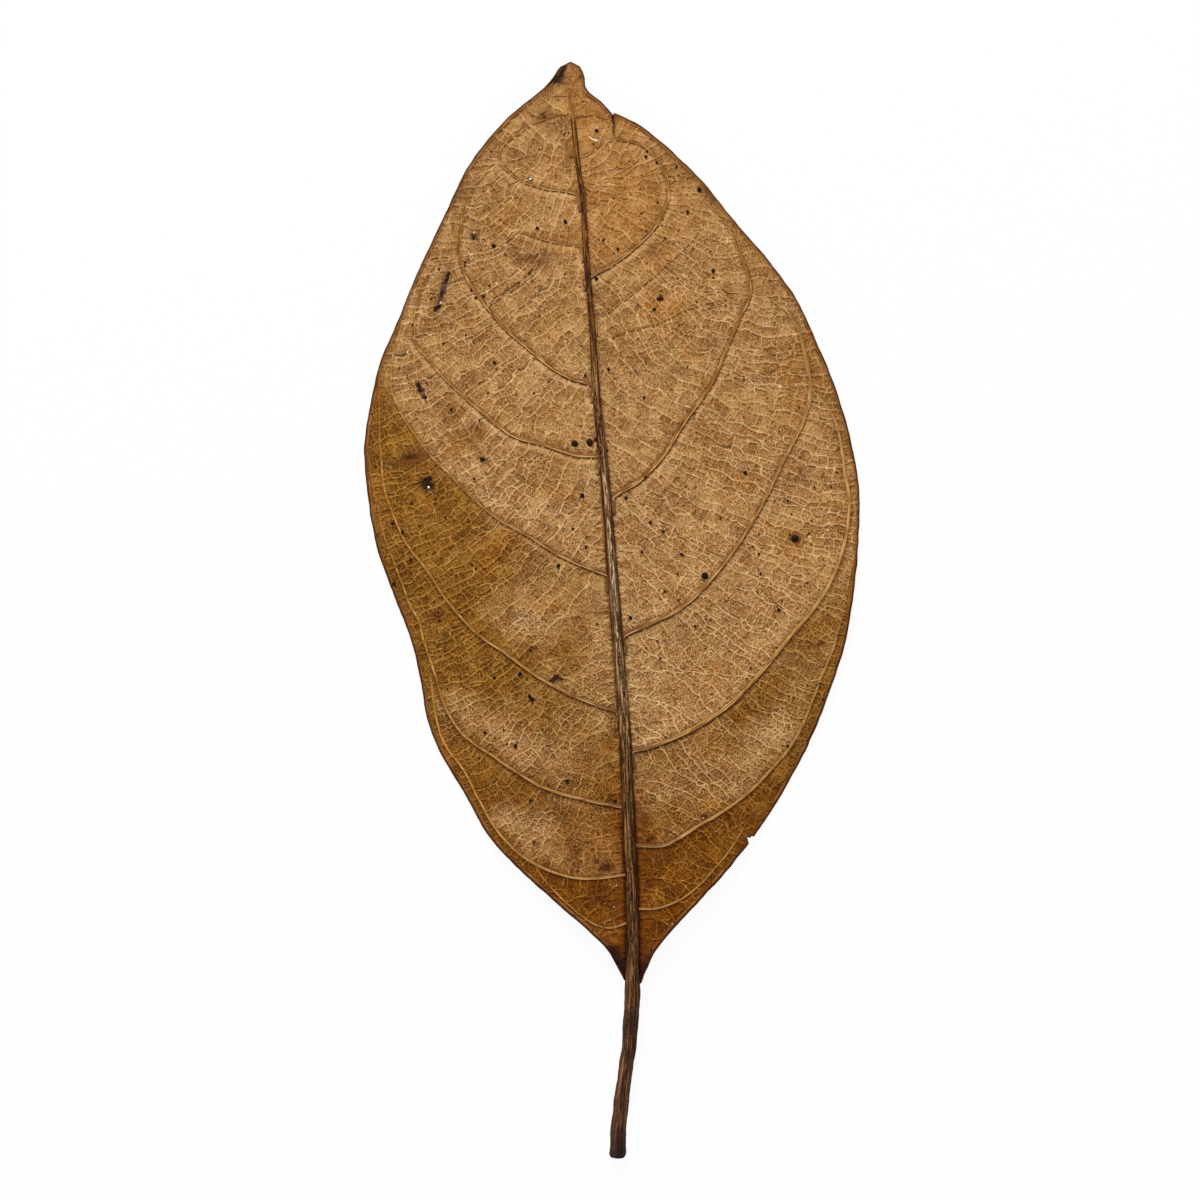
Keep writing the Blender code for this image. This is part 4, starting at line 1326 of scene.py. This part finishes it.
def make_side_veins(lines, veins, material):
    """Every side vein: a low rounded ridge that narrows towards the margin."""
    wide, tall = np.cos(around(VEIN_SIDES)), np.sin(around(VEIN_SIDES))
    rise = np.where(tall > 0, VEIN_RISE * tall, -VEIN_DEPTH)
    rings, faces, traits = [], [], []
    first = 0
    for line in lines:
        path, half = line.path, line.half
        across = leftwards(headings(path))
        spots = path[:, None] + across[:, None] * (half[:, None] * wide)[..., None]
        ground = lie(path, veins)
        lift = VEIN_LIFT + THIN_VEIN_LIFT * (1 - line.bold)
        height = ground[:, None] + lift + half[:, None] * rise[None, :]
        ring = np.concatenate([spots, height[..., None]], axis=2).reshape(-1, 3)
        rings += [ring, [[*path[0], ground[0]]], [[*path[-1], ground[-1]]]]
        last = first + len(ring) - VEIN_SIDES
        for at in range(first, last, VEIN_SIDES):
            for k in range(VEIN_SIDES):
                a, b = at + k, at + (k + 1) % VEIN_SIDES
                faces.append((b, a, a + VEIN_SIDES, b + VEIN_SIDES))
        for k in range(VEIN_SIDES):
            after = (k + 1) % VEIN_SIDES
            faces.append((first + k, first + after, first + len(ring)))
            faces.append((last + after, last + k, first + len(ring) + 1))
        uphill = np.clip(3 * across[:, 1], -1, 1)
        values = {
            "along": np.repeat(line.share, VEIN_SIDES),
            "run": np.repeat(line.lengths + 7 * first, VEIN_SIDES),
            "flank": np.tile(wide, len(path)),
            "off": (half[:, None] * wide).ravel(),
            "upper": (uphill[:, None] * wide).ravel(),
            "root": np.repeat(line.root, VEIN_SIDES),
        }
        values = {key: np.r_[value, 0, 0] for key, value in values.items()}
        values["low"] = np.full(len(ring) + 2, line.low)
        values["left"] = np.full(len(ring) + 2, line.side < 0)
        traits.append(values)
        first += len(ring) + 2
    traits = {key: np.concatenate([values[key] for values in traits]) for key in traits[0]}
    return piece("side_veins", np.vstack(rings), faces, [material], traits)


def make_rim(margins, veins, material):
    """The rolled margin: a thin dark bead along the edge and a paler one just inside it."""
    vertices, faces, inner = [], [], []
    offset = 0
    for margin in margins:
        keep = np.r_[True, np.linalg.norm(np.diff(margin, axis=0), axis=1) > 0.05]
        edge_line = margin[keep]
        inwards = -leftwards(headings(edge_line))
        for inset, size, uneven, drop in BEADS:
            line = edge_line + inset * inwards
            height = lie(line, veins) - drop
            radius = np.array([size + uneven * rough(x, y, 0.5, 50 + inset) for x, y in line])
            if inset:
                gap, _ = nearest(line, np.array(NOTCH), np.array(TEAR))
                share = np.clip(gap - INNER_BEAD_GAP, 0, 1) * at_height(line[:, 1], INNER_BEAD)
                radius = np.maximum(radius * share, 0.01)
            ring, sides = closed_tube(np.column_stack([line, height]), radius, BEAD_SIDES)
            vertices.append(ring)
            faces += [tuple(v + offset for v in face) for face in sides]
            inner.append(np.full(len(ring), inset > 0))
            offset += len(ring)
    vertices = np.vstack(vertices)
    vertices[:, 2] = np.maximum(vertices[:, 2], CLEAR_OF_FLOOR)
    return piece("margin", vertices, faces, [material], {"inside": np.concatenate(inner)})


def inside(loop, x, y):
    """Whether a place lies inside a closed loop of points."""
    crossed = False
    for (ax, ay), (bx, by) in pairs(loop):
        if (ay > y) != (by > y) and x < ax + (bx - ax) * (y - ay) / (by - ay):
            crossed = not crossed
    return crossed


def make_dots(veins, outline, material):
    """Raised black dots: the large ones in their places and many tiny ones scattered."""
    spots = list(DOTS)
    low, high = outline.min(0), outline.max(0)
    loop = [tuple(p) for p in outline]
    while len(spots) < DOT_COUNT:
        x, y = random.uniform(low[0], high[0]), random.uniform(low[1], high[1])
        if inside(loop, x, y):
            spots.append((x, y, random.uniform(*SMALL_DOT) * random.uniform(0.6, 1.0)))
    ground = lie([spot[:2] for spot in spots], veins)
    vertices, faces = [], []
    for (x, y, r), z in zip(spots, ground):
        first = len(vertices)
        stretch, turn = random.uniform(0.8, 1.25), random.uniform(0, math.pi)
        for share, height in DOT_RINGS:
            for k in range(DOT_SIDES):
                angle = 2 * math.pi * k / DOT_SIDES
                a, b = r * share * math.cos(angle) * stretch, r * share * math.sin(angle)
                vertices.append((
                    x + a * math.cos(turn) - b * math.sin(turn),
                    y + a * math.sin(turn) + b * math.cos(turn),
                    z + height * r + (DOT_LIFT if height > 0 else 0),
                ))
        vertices += [(x, y, z + DOT_TOP * r + DOT_LIFT), (x, y, z - DOT_ROOT)]
        top, bottom = len(vertices) - 2, len(vertices) - 1
        cap = first + 2 * DOT_SIDES
        for k in range(DOT_SIDES):
            n = (k + 1) % DOT_SIDES
            for ring in (first, first + DOT_SIDES):
                faces.append((ring + k, ring + n, ring + n + DOT_SIDES, ring + k + DOT_SIDES))
            faces.append((cap + k, cap + n, top))
            faces.append((first + n, first + k, bottom))
    return piece("black_dots", vertices, faces, [material], {})


# ---------------------------------------------------------------- materials


def paint(red, green, blue):
    """A colour given as it looks on a screen, 0 to 255, as a shader colour."""
    shares = [v / 255 for v in (red, green, blue)]
    return (*(v / 12.92 if v <= 0.04045 else ((v + 0.055) / 1.055) ** 2.4 for v in shares), 1.0)


class Shader:
    """A Principled material built up from named point values and noise.

    A colour is another node's output, or red, green and blue as they look on a screen.
    """

    def __init__(self, name, roughness, specular):
        self.material = bpy.data.materials.new(name)
        self.material.use_nodes = True
        self.tree = self.material.node_tree
        self.surface = self.tree.nodes["Principled BSDF"]
        self.surface.inputs["Roughness"].default_value = roughness
        self.surface.inputs["Specular IOR Level"].default_value = specular
        self.place = self.node("TexCoord").outputs["Object"]

    def link(self, value, socket):
        """Joins another node's output to a socket, or sets the socket to a value."""
        if hasattr(value, "links"):
            self.tree.links.new(value, socket)
        else:
            socket.default_value = value

    def node(self, kind, inputs=(), **settings):
        """A new node with these settings and with these values or outputs at its inputs."""
        node = self.tree.nodes.new("ShaderNode" + kind)
        for key, value in settings.items():
            setattr(node, key, value)
        for key, value in dict(inputs).items():
            self.link(value, node.inputs[key])
        return node

    def trait(self, name):
        return self.node("Attribute", attribute_name=name).outputs["Fac"]

    def math(self, operation, a, b=0.0, clamp=False):
        return self.node("Math", {0: a, 1: b}, operation=operation, use_clamp=clamp).outputs[0]

    def times(self, a, b):
        return self.math("MULTIPLY", a, b)

    def band(self, value, low, high, out_low=0.0, out_high=1.0):
        """A smooth step from one value out to another as the value in goes from low to high."""
        ends = {"From Min": low, "From Max": high, "To Min": out_low, "To Max": out_high}
        step = self.node("MapRange", {"Value": value, **ends}, interpolation_type="SMOOTHSTEP")
        return step.outputs[0]

    def texture(self, place, size, detail, **inputs):
        """A noise texture whose features are about this many metres across."""
        inputs |= {"Vector": place, "Scale": 1 / size, "Detail": detail}
        return self.node("TexNoise", inputs)

    def cells(self, place, size, feature="F1"):
        """A texture of crooked cells about this many millimetres across."""
        inputs = {"Vector": place, "Scale": 1 / (size * MM)}
        return self.node("TexVoronoi", inputs, voronoi_dimensions="2D", feature=feature)

    def noise(self, size, detail=2, rough=0.5, stretch=(1, 1, 1)):
        """Noise whose features are about this many millimetres across."""
        place = self.node("Mapping", {"Vector": self.place, "Scale": stretch}).outputs[0]
        return self.texture(place, size * MM, detail, Roughness=rough).outputs["Fac"]

    def streaks(self, wide, long, detail=3):
        """Streaks of this width and length in millimetres that follow a vein."""
        across = self.times(self.trait("off"), 1 / wide)
        along = self.times(self.trait("run"), 1 / long)
        place = self.node("CombineXYZ", {0: across, 1: along}).outputs[0]
        return self.texture(place, 1, detail, Roughness=0.6).outputs["Fac"]

    def meshes(self, size, bend):
        """Distance from the walls of tiny crooked meshes about this many millimetres wide."""
        sway = self.texture(self.place, size * MM / 0.6, 1).outputs["Color"]
        inputs = {0: sway, 1: (bend * size * MM,) * 3, 2: self.place}
        place = self.node("VectorMath", inputs, operation="MULTIPLY_ADD").outputs[0]
        return self.cells(place, size, "DISTANCE_TO_EDGE").outputs["Distance"]

    def strokes(self, size, pitch):
        """Distance in pitches from wavy strokes, parallel within patches of about this size."""
        patches = self.cells(self.place, size).outputs["Color"]
        share = self.node("SeparateColor", {0: patches}).outputs[0]
        inputs = {"Vector": self.place, "Angle": self.times(share, 2 * math.pi)}
        turned = self.node("VectorRotate", inputs, rotation_type="Z_AXIS").outputs[0]
        along = self.node("SeparateXYZ", {0: turned}).outputs[0]
        bend = self.band(self.noise(0.9), 0.2, 0.8, -1.4, 1.4)
        phase = self.math("ADD", self.times(along, 1 / (pitch * MM)), bend)
        return self.math("PINGPONG", phase, 0.5)

    def dots(self, gap, radius, share, seed=0.0):
        """Round dots about a gap apart in this share of places, 1 inside and 0 outside."""
        place = self.node("VectorMath", {0: self.place, 1: (seed, seed, 0)}).outputs[0]
        node = self.cells(place, gap)
        chance = self.node("SeparateColor", {0: node.outputs["Color"]}).outputs[0]
        size = self.times(self.band(chance, share, share * 0.4), radius / gap)
        return self.band(self.math("SUBTRACT", node.outputs["Distance"], size), 0.02, -0.06)

    def blots(self, marks, sway):
        """Crisp marks at their places on the leaf, 1 inside and 0 outside."""
        origin = on_leaf([0, 0, 0])
        nearest_mark = 9.0
        for x, y, half_length, half_width, degrees in marks:
            place = self.node("Mapping", {
                "Vector": self.place,
                "Location": (origin[0] + x * MM, origin[1] + y * MM, 0),
                "Rotation": (0, 0, math.radians(degrees)),
                "Scale": (half_length * MM, half_width * MM, 1),
            }, vector_type="TEXTURE")
            reach = self.node("VectorMath", {0: place.outputs[0]}, operation="LENGTH")
            nearest_mark = self.math("MINIMUM", reach.outputs["Value"], nearest_mark)
        return self.band(self.math("ADD", nearest_mark, sway), 1.25, 0.8)

    def ring(self, x, y, radius, half_width):
        """A ring at its place on the leaf."""
        spot = on_leaf([x, y, 0])
        flat = self.node("Mapping", {"Vector": self.place, "Scale": (1, 1, 0)}).outputs[0]
        gap = self.node("VectorMath", {0: flat, 1: (spot[0], spot[1], 0)}, operation="DISTANCE")
        off = self.math("SUBTRACT", gap.outputs["Value"], radius * MM)
        return self.band(self.math("ABSOLUTE", off), half_width * MM, half_width * MM * 0.4)

    def between(self, share, a, b):
        """A value that goes from a to b as share goes from 0 to 1."""
        return self.math("ADD", a, self.times(self.math("SUBTRACT", b, a), share))

    def mix(self, factor, a, b):
        """A colour that goes from a to b as the factor goes from 0 to 1."""
        a, b = (value if hasattr(value, "links") else paint(*value) for value in (a, b))
        return self.node("Mix", {0: factor, 6: a, 7: b}, data_type="RGBA").outputs[2]

    def over(self, colour, *coats):
        """A colour under coats of others: (where, colour), or (where, how much, colour)."""
        for where, *share, top in coats:
            if share:
                where = self.times(where, share[0])
            colour = self.mix(where, colour, top)
        return colour

    def ramp(self, value, stops):
        """A colour that changes from one to the next at these values."""
        steps = zip(stops, stops[1:])
        coats = [(self.band(value, low, high), top) for (low, _), (high, top) in steps]
        return self.over(stops[0][1], *coats)

    def finish(self, colour, height, depth, strength=1.0, roughness=None):
        """The material with this colour and a relief of this depth in millimetres."""
        inputs = {"Height": height, "Distance": depth * MM, "Strength": strength}
        self.link(self.node("Bump", inputs).outputs[0], self.surface.inputs["Normal"])
        self.link(colour, self.surface.inputs["Base Color"])
        if roughness is not None:
            self.link(roughness, self.surface.inputs["Roughness"])
        return self.material


def veined_side():
    """The leaf's underside, which lies up: tan tissue in a net of paler veins."""
    s = Shader("veined_side", 0.62, 0.04)
    tone, foot, warm, vein, crisp, patchy, fringe = (
        s.trait(name) for name in ("tone", "foot", "warm", "vein", "crisp", "patchy", "fringe")
    )
    cloud, patch, mottle = s.noise(9, 3, 0.55), s.noise(3.6, 3, 0.6), s.noise(2, 4, 0.6)
    grain = s.noise(0.28, 2, 0.7)
    drift = s.band(cloud, 0.3, 0.7, -0.18, 0.18)
    zone = s.band(s.math("ADD", s.trait("ochre"), drift), 0.05, 1)

    def by_zone(tan, ochre, low_ochre):
        return s.mix(zone, tan, s.mix(foot, ochre, low_ochre))

    tissue = by_zone((157, 109, 55), (112, 68, 12), (96, 49, 2))
    line = by_zone((236, 193, 136), (194, 140, 62), (184, 120, 36))
    lighter = by_zone((194, 150, 93), (154, 107, 43), (132, 77, 14))
    darker = by_zone((112, 64, 14), (84, 44, 6), (68, 28, 4))
    line = s.over(line, (warm, 0.6, (226, 160, 76)))

    # the tissue: broad patches, then the finest meshes and strokes, then grain
    shade = s.math("ADD", tone, s.band(mottle, 0.25, 0.75, -0.75, 0.75))
    shade = s.times(shade, s.math("MINIMUM", patchy, 1))
    shade = s.math("ADD", shade, s.times(s.band(patch, 0.3, 0.7, -0.25, 0.25), patchy))
    rust = s.math("ADD", s.trait("red"), s.band(cloud, 0.3, 0.7, -0.3, 0.3))
    meshes, strokes = s.meshes(0.4, 2.2), s.strokes(1.5, STROKE_PITCH)
    choice = s.band(s.noise(3.2), 0.44, 0.56)
    walls = s.between(choice, s.band(meshes, 0.15, 0.02), s.band(strokes, 0.17, 0.04, 0, 0.9))
    gaps = s.between(choice, s.band(meshes, 0.16, 0.42), s.band(strokes, 0.24, 0.44, 0, 0.9))
    comb = s.noise(0.42, 1, 0.5, (0.16, 1, 1))
    clear = s.math("MAXIMUM", s.band(mottle, 0.25, 0.7, 0.35, 0.8), s.band(vein, 0.8, 1, 0, 0.9))
    tissue = s.over(
        tissue,
        (s.band(patch, 0.5, 0.36, 0, 0.7), zone, darker),
        (s.band(patch, 0.5, 0.66, 0, 0.7), zone, lighter),
        (s.trait("pale"), 0.55, (190, 148, 98)),
        (warm, 0.75, (164, 98, 24)),
        (s.band(shade, -0.05, 0.8, 0, 0.7), lighter),
        (s.band(shade, 0.05, -0.8, 0, 0.8), darker),
        (s.band(rust, 0.1, 0.9, 0, 0.65), (144, 80, 16)),
        (walls, s.times(crisp, 0.6), line),
        (gaps, s.times(crisp, 0.55), darker),
        (fringe, s.band(comb, 0.48, 0.38, 0, 0.4), darker),
        (s.band(grain, 0.5, 0.8, 0, 0.4), darker),
        (s.band(grain, 0.5, 0.2, 0, 0.4), line),
        # painted shade right beside each line of the net
        (s.times(s.band(vein, -0.02, -0.25, 0, 0.5), clear), crisp, darker),
    )

    # the lines of the net and what shines on them
    strength = s.times(s.band(vein, 0.15, 0.95), clear)
    strength = s.math("MULTIPLY", strength, s.math("MAXIMUM", crisp, zone), clamp=True)
    teeth = s.times(fringe, s.band(comb, 0.53, 0.62, 0, 0.8))
    glint = s.times(s.band(s.noise(0.9), 0.56, 0.68), s.band(vein, 0.4, 0.9))

    # marks, and painted shade on the tissue beside what stands up
    specks = s.math("MAXIMUM", s.dots(2.6, 0.26, 0.3), s.dots(1.7, 0.16, 0.25, 0.31))
    sway = s.band(s.noise(0.6, 2, 0.6), 0.3, 0.7, -0.35, 0.35)
    black = s.math("MAXIMUM", s.trait("black"), s.times(s.blots(BLACK_BLOTS, sway), 0.9))
    colour = s.over(
        tissue,
        (s.math("MAXIMUM", strength, teeth), line),
        # painted light just below the side veins
        (s.trait("light_below_vein"), 0.45, line),
        (glint, s.band(zone, 1, 0, 0.3, 0.6), (250, 220, 174)),
        (specks, 0.8, (70, 34, 10)),
        (s.trait("brown"), 0.85, (86, 46, 22)),
        (s.blots(PURPLE_BLOTS, sway), 0.8, (82, 54, 44)),
        (s.blots(RUSTY_BLOTS, sway), 0.75, (78, 40, 16)),
        (s.ring(*RING), 0.85, (104, 46, 12)),
        # painted shade against the side veins
        (s.trait("shade_beside_vein"), 0.8, (76, 40, 10)),
        (s.trait("rib_glow"), 0.68, (114, 50, 8)),
        # painted shade against the midrib
        (s.band(s.trait("shade_beside_rib"), 0.1, 0.9, 0, 0.9), s.mix(foot, (124, 72, 24), (56, 22, 6))),
        (s.band(s.trait("edge"), 0.15, 0.95, 0, 0.75), (94, 50, 18)),
        (black, (38, 20, 18)),
        (s.blots(PALE_BLOTS, sway), 0.85, (230, 218, 204)),
    )
    relief = s.math("ADD", s.times(walls, 0.5), grain)
    return s.finish(colour, relief, 0.05, 1, s.band(mottle, 0.3, 0.7, 0.55, 0.72))


def smooth_side():
    """The leaf's upper face, which lies down: darker, smoother and a little glossy."""
    s = Shader("smooth_side", 0.45, 0.4)
    cloud, mottle = s.noise(11, 3, 0.55), s.noise(2.6, 3, 0.6)
    colour = s.over(
        (104, 64, 30),
        (s.band(cloud, 0.3, 0.7), (132, 86, 42)),
        (s.band(mottle, 0.35, 0.75, 0, 0.6), (84, 48, 24)),
        (s.trait("vein"), 0.5, (156, 112, 62)),
        (s.trait("black"), (34, 22, 16)),
    )
    shine = s.band(mottle, 0.3, 0.7, 0.38, 0.55)
    return s.finish(colour, s.noise(0.35, 2, 0.6), 0.03, 0.5, shine)


# the midrib and stalk's colours at distances from the cut end, and of their pale fibres
RIB_COLOURS = [
    (0, (40, 31, 28)), (2.6, (46, 34, 29)), (3.8, (94, 62, 46)), (7, (118, 78, 54)),
    (13, (118, 77, 52)), (20, (88, 59, 38)), (27, (96, 60, 29)), (46, (82, 49, 20)),
    (64, (83, 53, 22)), (84, (94, 63, 31)), (100, (92, 60, 29)), (113, (78, 48, 22)),
    (128, (80, 48, 20)), (138, (68, 38, 12)), (158, (88, 48, 12)), (165, (102, 58, 16)),
    (168, (160, 110, 54)),
]
FIBRE_COLOURS = [
    (0, (96, 72, 58)), (3.4, (104, 72, 56)), (6, (142, 96, 70)), (20, (152, 108, 68)),
    (60, (164, 120, 66)), (90, (208, 172, 122)), (120, (172, 128, 76)), (135, (140, 94, 46)),
    (160, (160, 106, 44)),
]


def rib_fibre():
    """The midrib and stalk: dark brown with paler lengthwise fibres, painted shade in grooves and
    at the sides.
    """
    s = Shader("rib_fibre", 0.62, 0.08)
    fibre, run, turned = s.trait("fibre"), s.trait("run"), s.trait("flank")
    flank = s.math("ABSOLUTE", turned)
    fine, broad, fleck = s.streaks(0.24, 8, 2), s.streaks(0.7, 14, 1), s.streaks(0.22, 2.2, 2)
    grain = s.noise(0.3, 2, 0.6)
    pale = s.ramp(run, FIBRE_COLOURS)
    dark = s.mix(s.band(run, 40, 110), (36, 18, 10), (52, 28, 12))
    mid_run = s.times(s.band(run, 74, 84), s.band(run, 120, 110))
    glint = s.times(s.band(flank, 0.45, 0.2), mid_run)
    core = s.times(s.band(flank, 0.5, 0.12), s.band(run, 31, 26))
    smudge = s.band(s.streaks(1, 4, 2), 0.6, 0.44, 0.1, 0.9)
    edge_colour = s.mix(s.band(run, 34, 22), (54, 26, 10), (76, 48, 32))
    colour = s.over(
        s.ramp(run, RIB_COLOURS),
        (s.band(broad, 0.5, 0.68, 0, 0.3), pale),
        (s.band(broad, 0.48, 0.32, 0, 0.65), dark),
        # painted shade in the grooves of the fibres
        (s.band(fibre, -0.05, -0.4, 0, 0.45), dark),
        (s.band(fine, 0.53, 0.59, 0, 0.9), pale),
        (s.band(fine, 0.49, 0.41, 0, 0.95), dark),
        (s.band(fleck, 0.57, 0.66, 0, 0.8), pale),
        (s.band(fleck, 0.42, 0.32, 0, 0.8), dark),
        (s.band(grain, 0.56, 0.68, 0, 0.4), pale),
        (s.band(grain, 0.46, 0.34, 0, 0.5), dark),
        (s.band(turned, 0.1, 0.5), s.band(run, 70, 56, 0, 0.4), dark),
        (s.band(flank, 0.3, 0.6, 0, 0.6), mid_run, (84, 52, 26)),
        (glint, s.band(fleck, 0.54, 0.6, 0, 0.65), (222, 196, 158)),
        (core, smudge, (46, 28, 19)),
        # painted shade along the rib's sides, where it meets the blade
        (s.band(flank, 0.62, 0.95, 0, 0.85), edge_colour),
    )
    return s.finish(colour, fine, 0.16)


def side_vein_fibre():
    """The side veins: golden with a painted-shade groove; low ones paler, with painted highlight
    and shadow.
    """
    s = Shader("side_vein_fibre", 0.55, 0.08)
    streak, patch = s.streaks(0.22, 2.5), s.noise(3)
    low, upper, along = s.trait("low"), s.trait("upper"), s.trait("along")
    flank = s.math("ABSOLUTE", s.trait("flank"))
    outer = s.times(s.band(along, 0.4, 0.65), low)
    high = s.band(low, 0.8, 0.2)
    lit = s.times(s.band(upper, 0.15, 0.5), s.band(upper, 0.95, 0.7))
    below = s.times(s.band(upper, -0.02, -0.16), s.band(upper, -0.48, -0.34))
    shine = s.band(s.streaks(4, 4.5, 1), 0.42, 0.56, 0.1, 0.85)
    colour = s.over(
        s.mix(high, (150, 102, 48), (150, 98, 38)),
        (outer, s.mix(s.trait("left"), (186, 140, 78), (206, 138, 50))),
        (s.band(patch, 0.5, 0.65, 0, 0.5), (184, 134, 70)),
        (s.band(patch, 0.45, 0.3, 0, 0.5), (120, 72, 22)),
        # painted shade: a dark groove down the middle
        (s.band(flank, 0.4, 0.1), s.band(low, 1, 0.3, 0.1, 0.7), (108, 62, 16)),
        (s.band(flank, 0.55, 0.95, 0, 0.7), (98, 54, 14)),
        # painted highlight on the upper flank of the low veins, and painted shade on that of the
        # high ones
        (lit, s.band(low, 0.85, 1, 0, 0.45), (210, 158, 84)),
        (s.band(upper, 0, 0.7), s.band(low, 0.95, 0.5, 0, 0.6), (96, 56, 18)),
        (s.band(streak, 0.53, 0.66, 0, 0.65), (224, 180, 118)),
        (s.band(streak, 0.47, 0.34, 0, 0.75), (88, 48, 14)),
        (s.trait("root"), 0.8, s.mix(high, (96, 60, 38), (116, 78, 42))),
        # painted highlight just below the middle, and painted shadow on the lower flank
        (below, s.times(shine, s.band(along, 0.6, 0.3, 0.15, 1)), (222, 180, 118)),
        (s.band(upper, -0.5, -0.7), s.band(outer, 1, 0, 0.2, 0.65), (86, 46, 12)),
    )
    return s.finish(colour, streak, 0.08, 0.8)


def dark_edge():
    """The dried margin, dark reddish brown, with its paler roll inside."""
    s = Shader("dark_edge", 0.6, 0.06)
    patch = s.noise(1.8, 3, 0.6)
    share = s.band(patch, 0.3, 0.7)
    rim, roll = s.mix(share, (52, 22, 6), (82, 40, 12)), s.mix(share, (118, 72, 30), (152, 102, 54))
    return s.finish(s.mix(s.trait("inside"), rim, roll), patch, 0.05, 0.4)


def fungus_black():
    """Dull black dots with a few brown ones."""
    s = Shader("fungus_black", 0.6, 0.1)
    colour = s.mix(s.band(s.noise(6, 1), 0.5, 0.8, 0, 0.5), (30, 17, 10), (76, 42, 20))
    return s.finish(colour, s.noise(0.15, 2, 0.6), 0.03, 0.5)


# ---------------------------------------------------------------- the studio


def make_floor():
    """A white floor that looks white to the camera and still takes the leaf's shadow."""
    mesh = bpy.data.meshes.new("floor")
    corners = [(-1, -1), (1, -1), (1, 1), (-1, 1)]
    places = [(x * FLOOR_REACH, y * FLOOR_REACH, FLOOR_DROP) for x, y in corners]
    mesh.from_pydata(places, [], [(0, 1, 2, 3)])
    s = Shader("floor", 0.9, 0.0)
    s.surface.inputs["Base Color"].default_value = (0.9, 0.9, 0.9, 1.0)
    seen = s.times(s.node("LightPath").outputs["Is Camera Ray"], FLOOR_GLOW)
    shaders = {1: s.surface.outputs[0], 2: s.node("Emission").outputs[0]}
    blend = s.node("MixShader", {0: seen, **shaders})
    s.link(blend.outputs[0], s.tree.nodes["Material Output"].inputs["Surface"])
    mesh.materials.append(s.material)
    floor = add("floor", mesh)


def make_lamp(name, place, size, power):
    """A square soft lamp that looks at the leaf."""
    lamp = bpy.data.lights.new(name, "AREA")
    lamp.size = size
    lamp.energy = power
    thing = add(name, lamp)
    thing.location = place
    thing.rotation_euler = Vector(place).to_track_quat("Z", "Y").to_euler()


def make_camera():
    """A camera straight above the leaf."""
    lens = bpy.data.cameras.new("camera")
    lens.lens = 100.0
    lens.sensor_width = 36.0
    lens.clip_start = 0.01
    low, high = cad_box
    middle = (low + high) / 2
    height = high.z * 0.6 + FRAME_WIDTH * MM * lens.lens / lens.sensor_width
    camera = add("camera", lens)
    camera.location = (middle.x + VIEW_SHIFT[0] * MM, middle.y + VIEW_SHIFT[1] * MM, height)
    bpy.context.scene.camera = camera


def make_studio():
    make_floor()
    make_lamp("key", KEY_PLACE, KEY_SIZE, KEY_POWER)
    world = bpy.data.worlds.new("studio")
    world.use_nodes = True
    sky = world.node_tree.nodes["Background"]
    sky.inputs["Color"].default_value = (1.0, 1.0, 1.0, 1.0)
    sky.inputs["Strength"].default_value = SKY_STRENGTH
    bpy.context.scene.world = world
    bpy.context.scene.view_settings.view_transform = "Standard"
    make_camera()


# ---------------------------------------------------------------- the whole leaf


def make_leaf():
    spine, left, right = outlines()
    courses = [points for side in SIDE_VEINS.values() for *_, points in side]
    veins = [smooth_path(points, COARSE_STEP) for points in courses]
    lines = [VeinLine(*vein) for side in SIDE_VEINS.values() for vein in side]
    skins = [veined_side(), smooth_side()]
    for side, margin in (("left", left), ("right", right)):
        half = make_half_blade(side, spine, margin, veins, lines, skins)
        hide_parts("leaf")
    make_rib(rib_fibre())
    make_side_veins(lines, veins, side_vein_fibre())
    make_rim([left, right], veins, dark_edge())
    make_dots(veins, np.vstack([left, right[1:]]), fungus_black())


make_leaf()
make_studio()
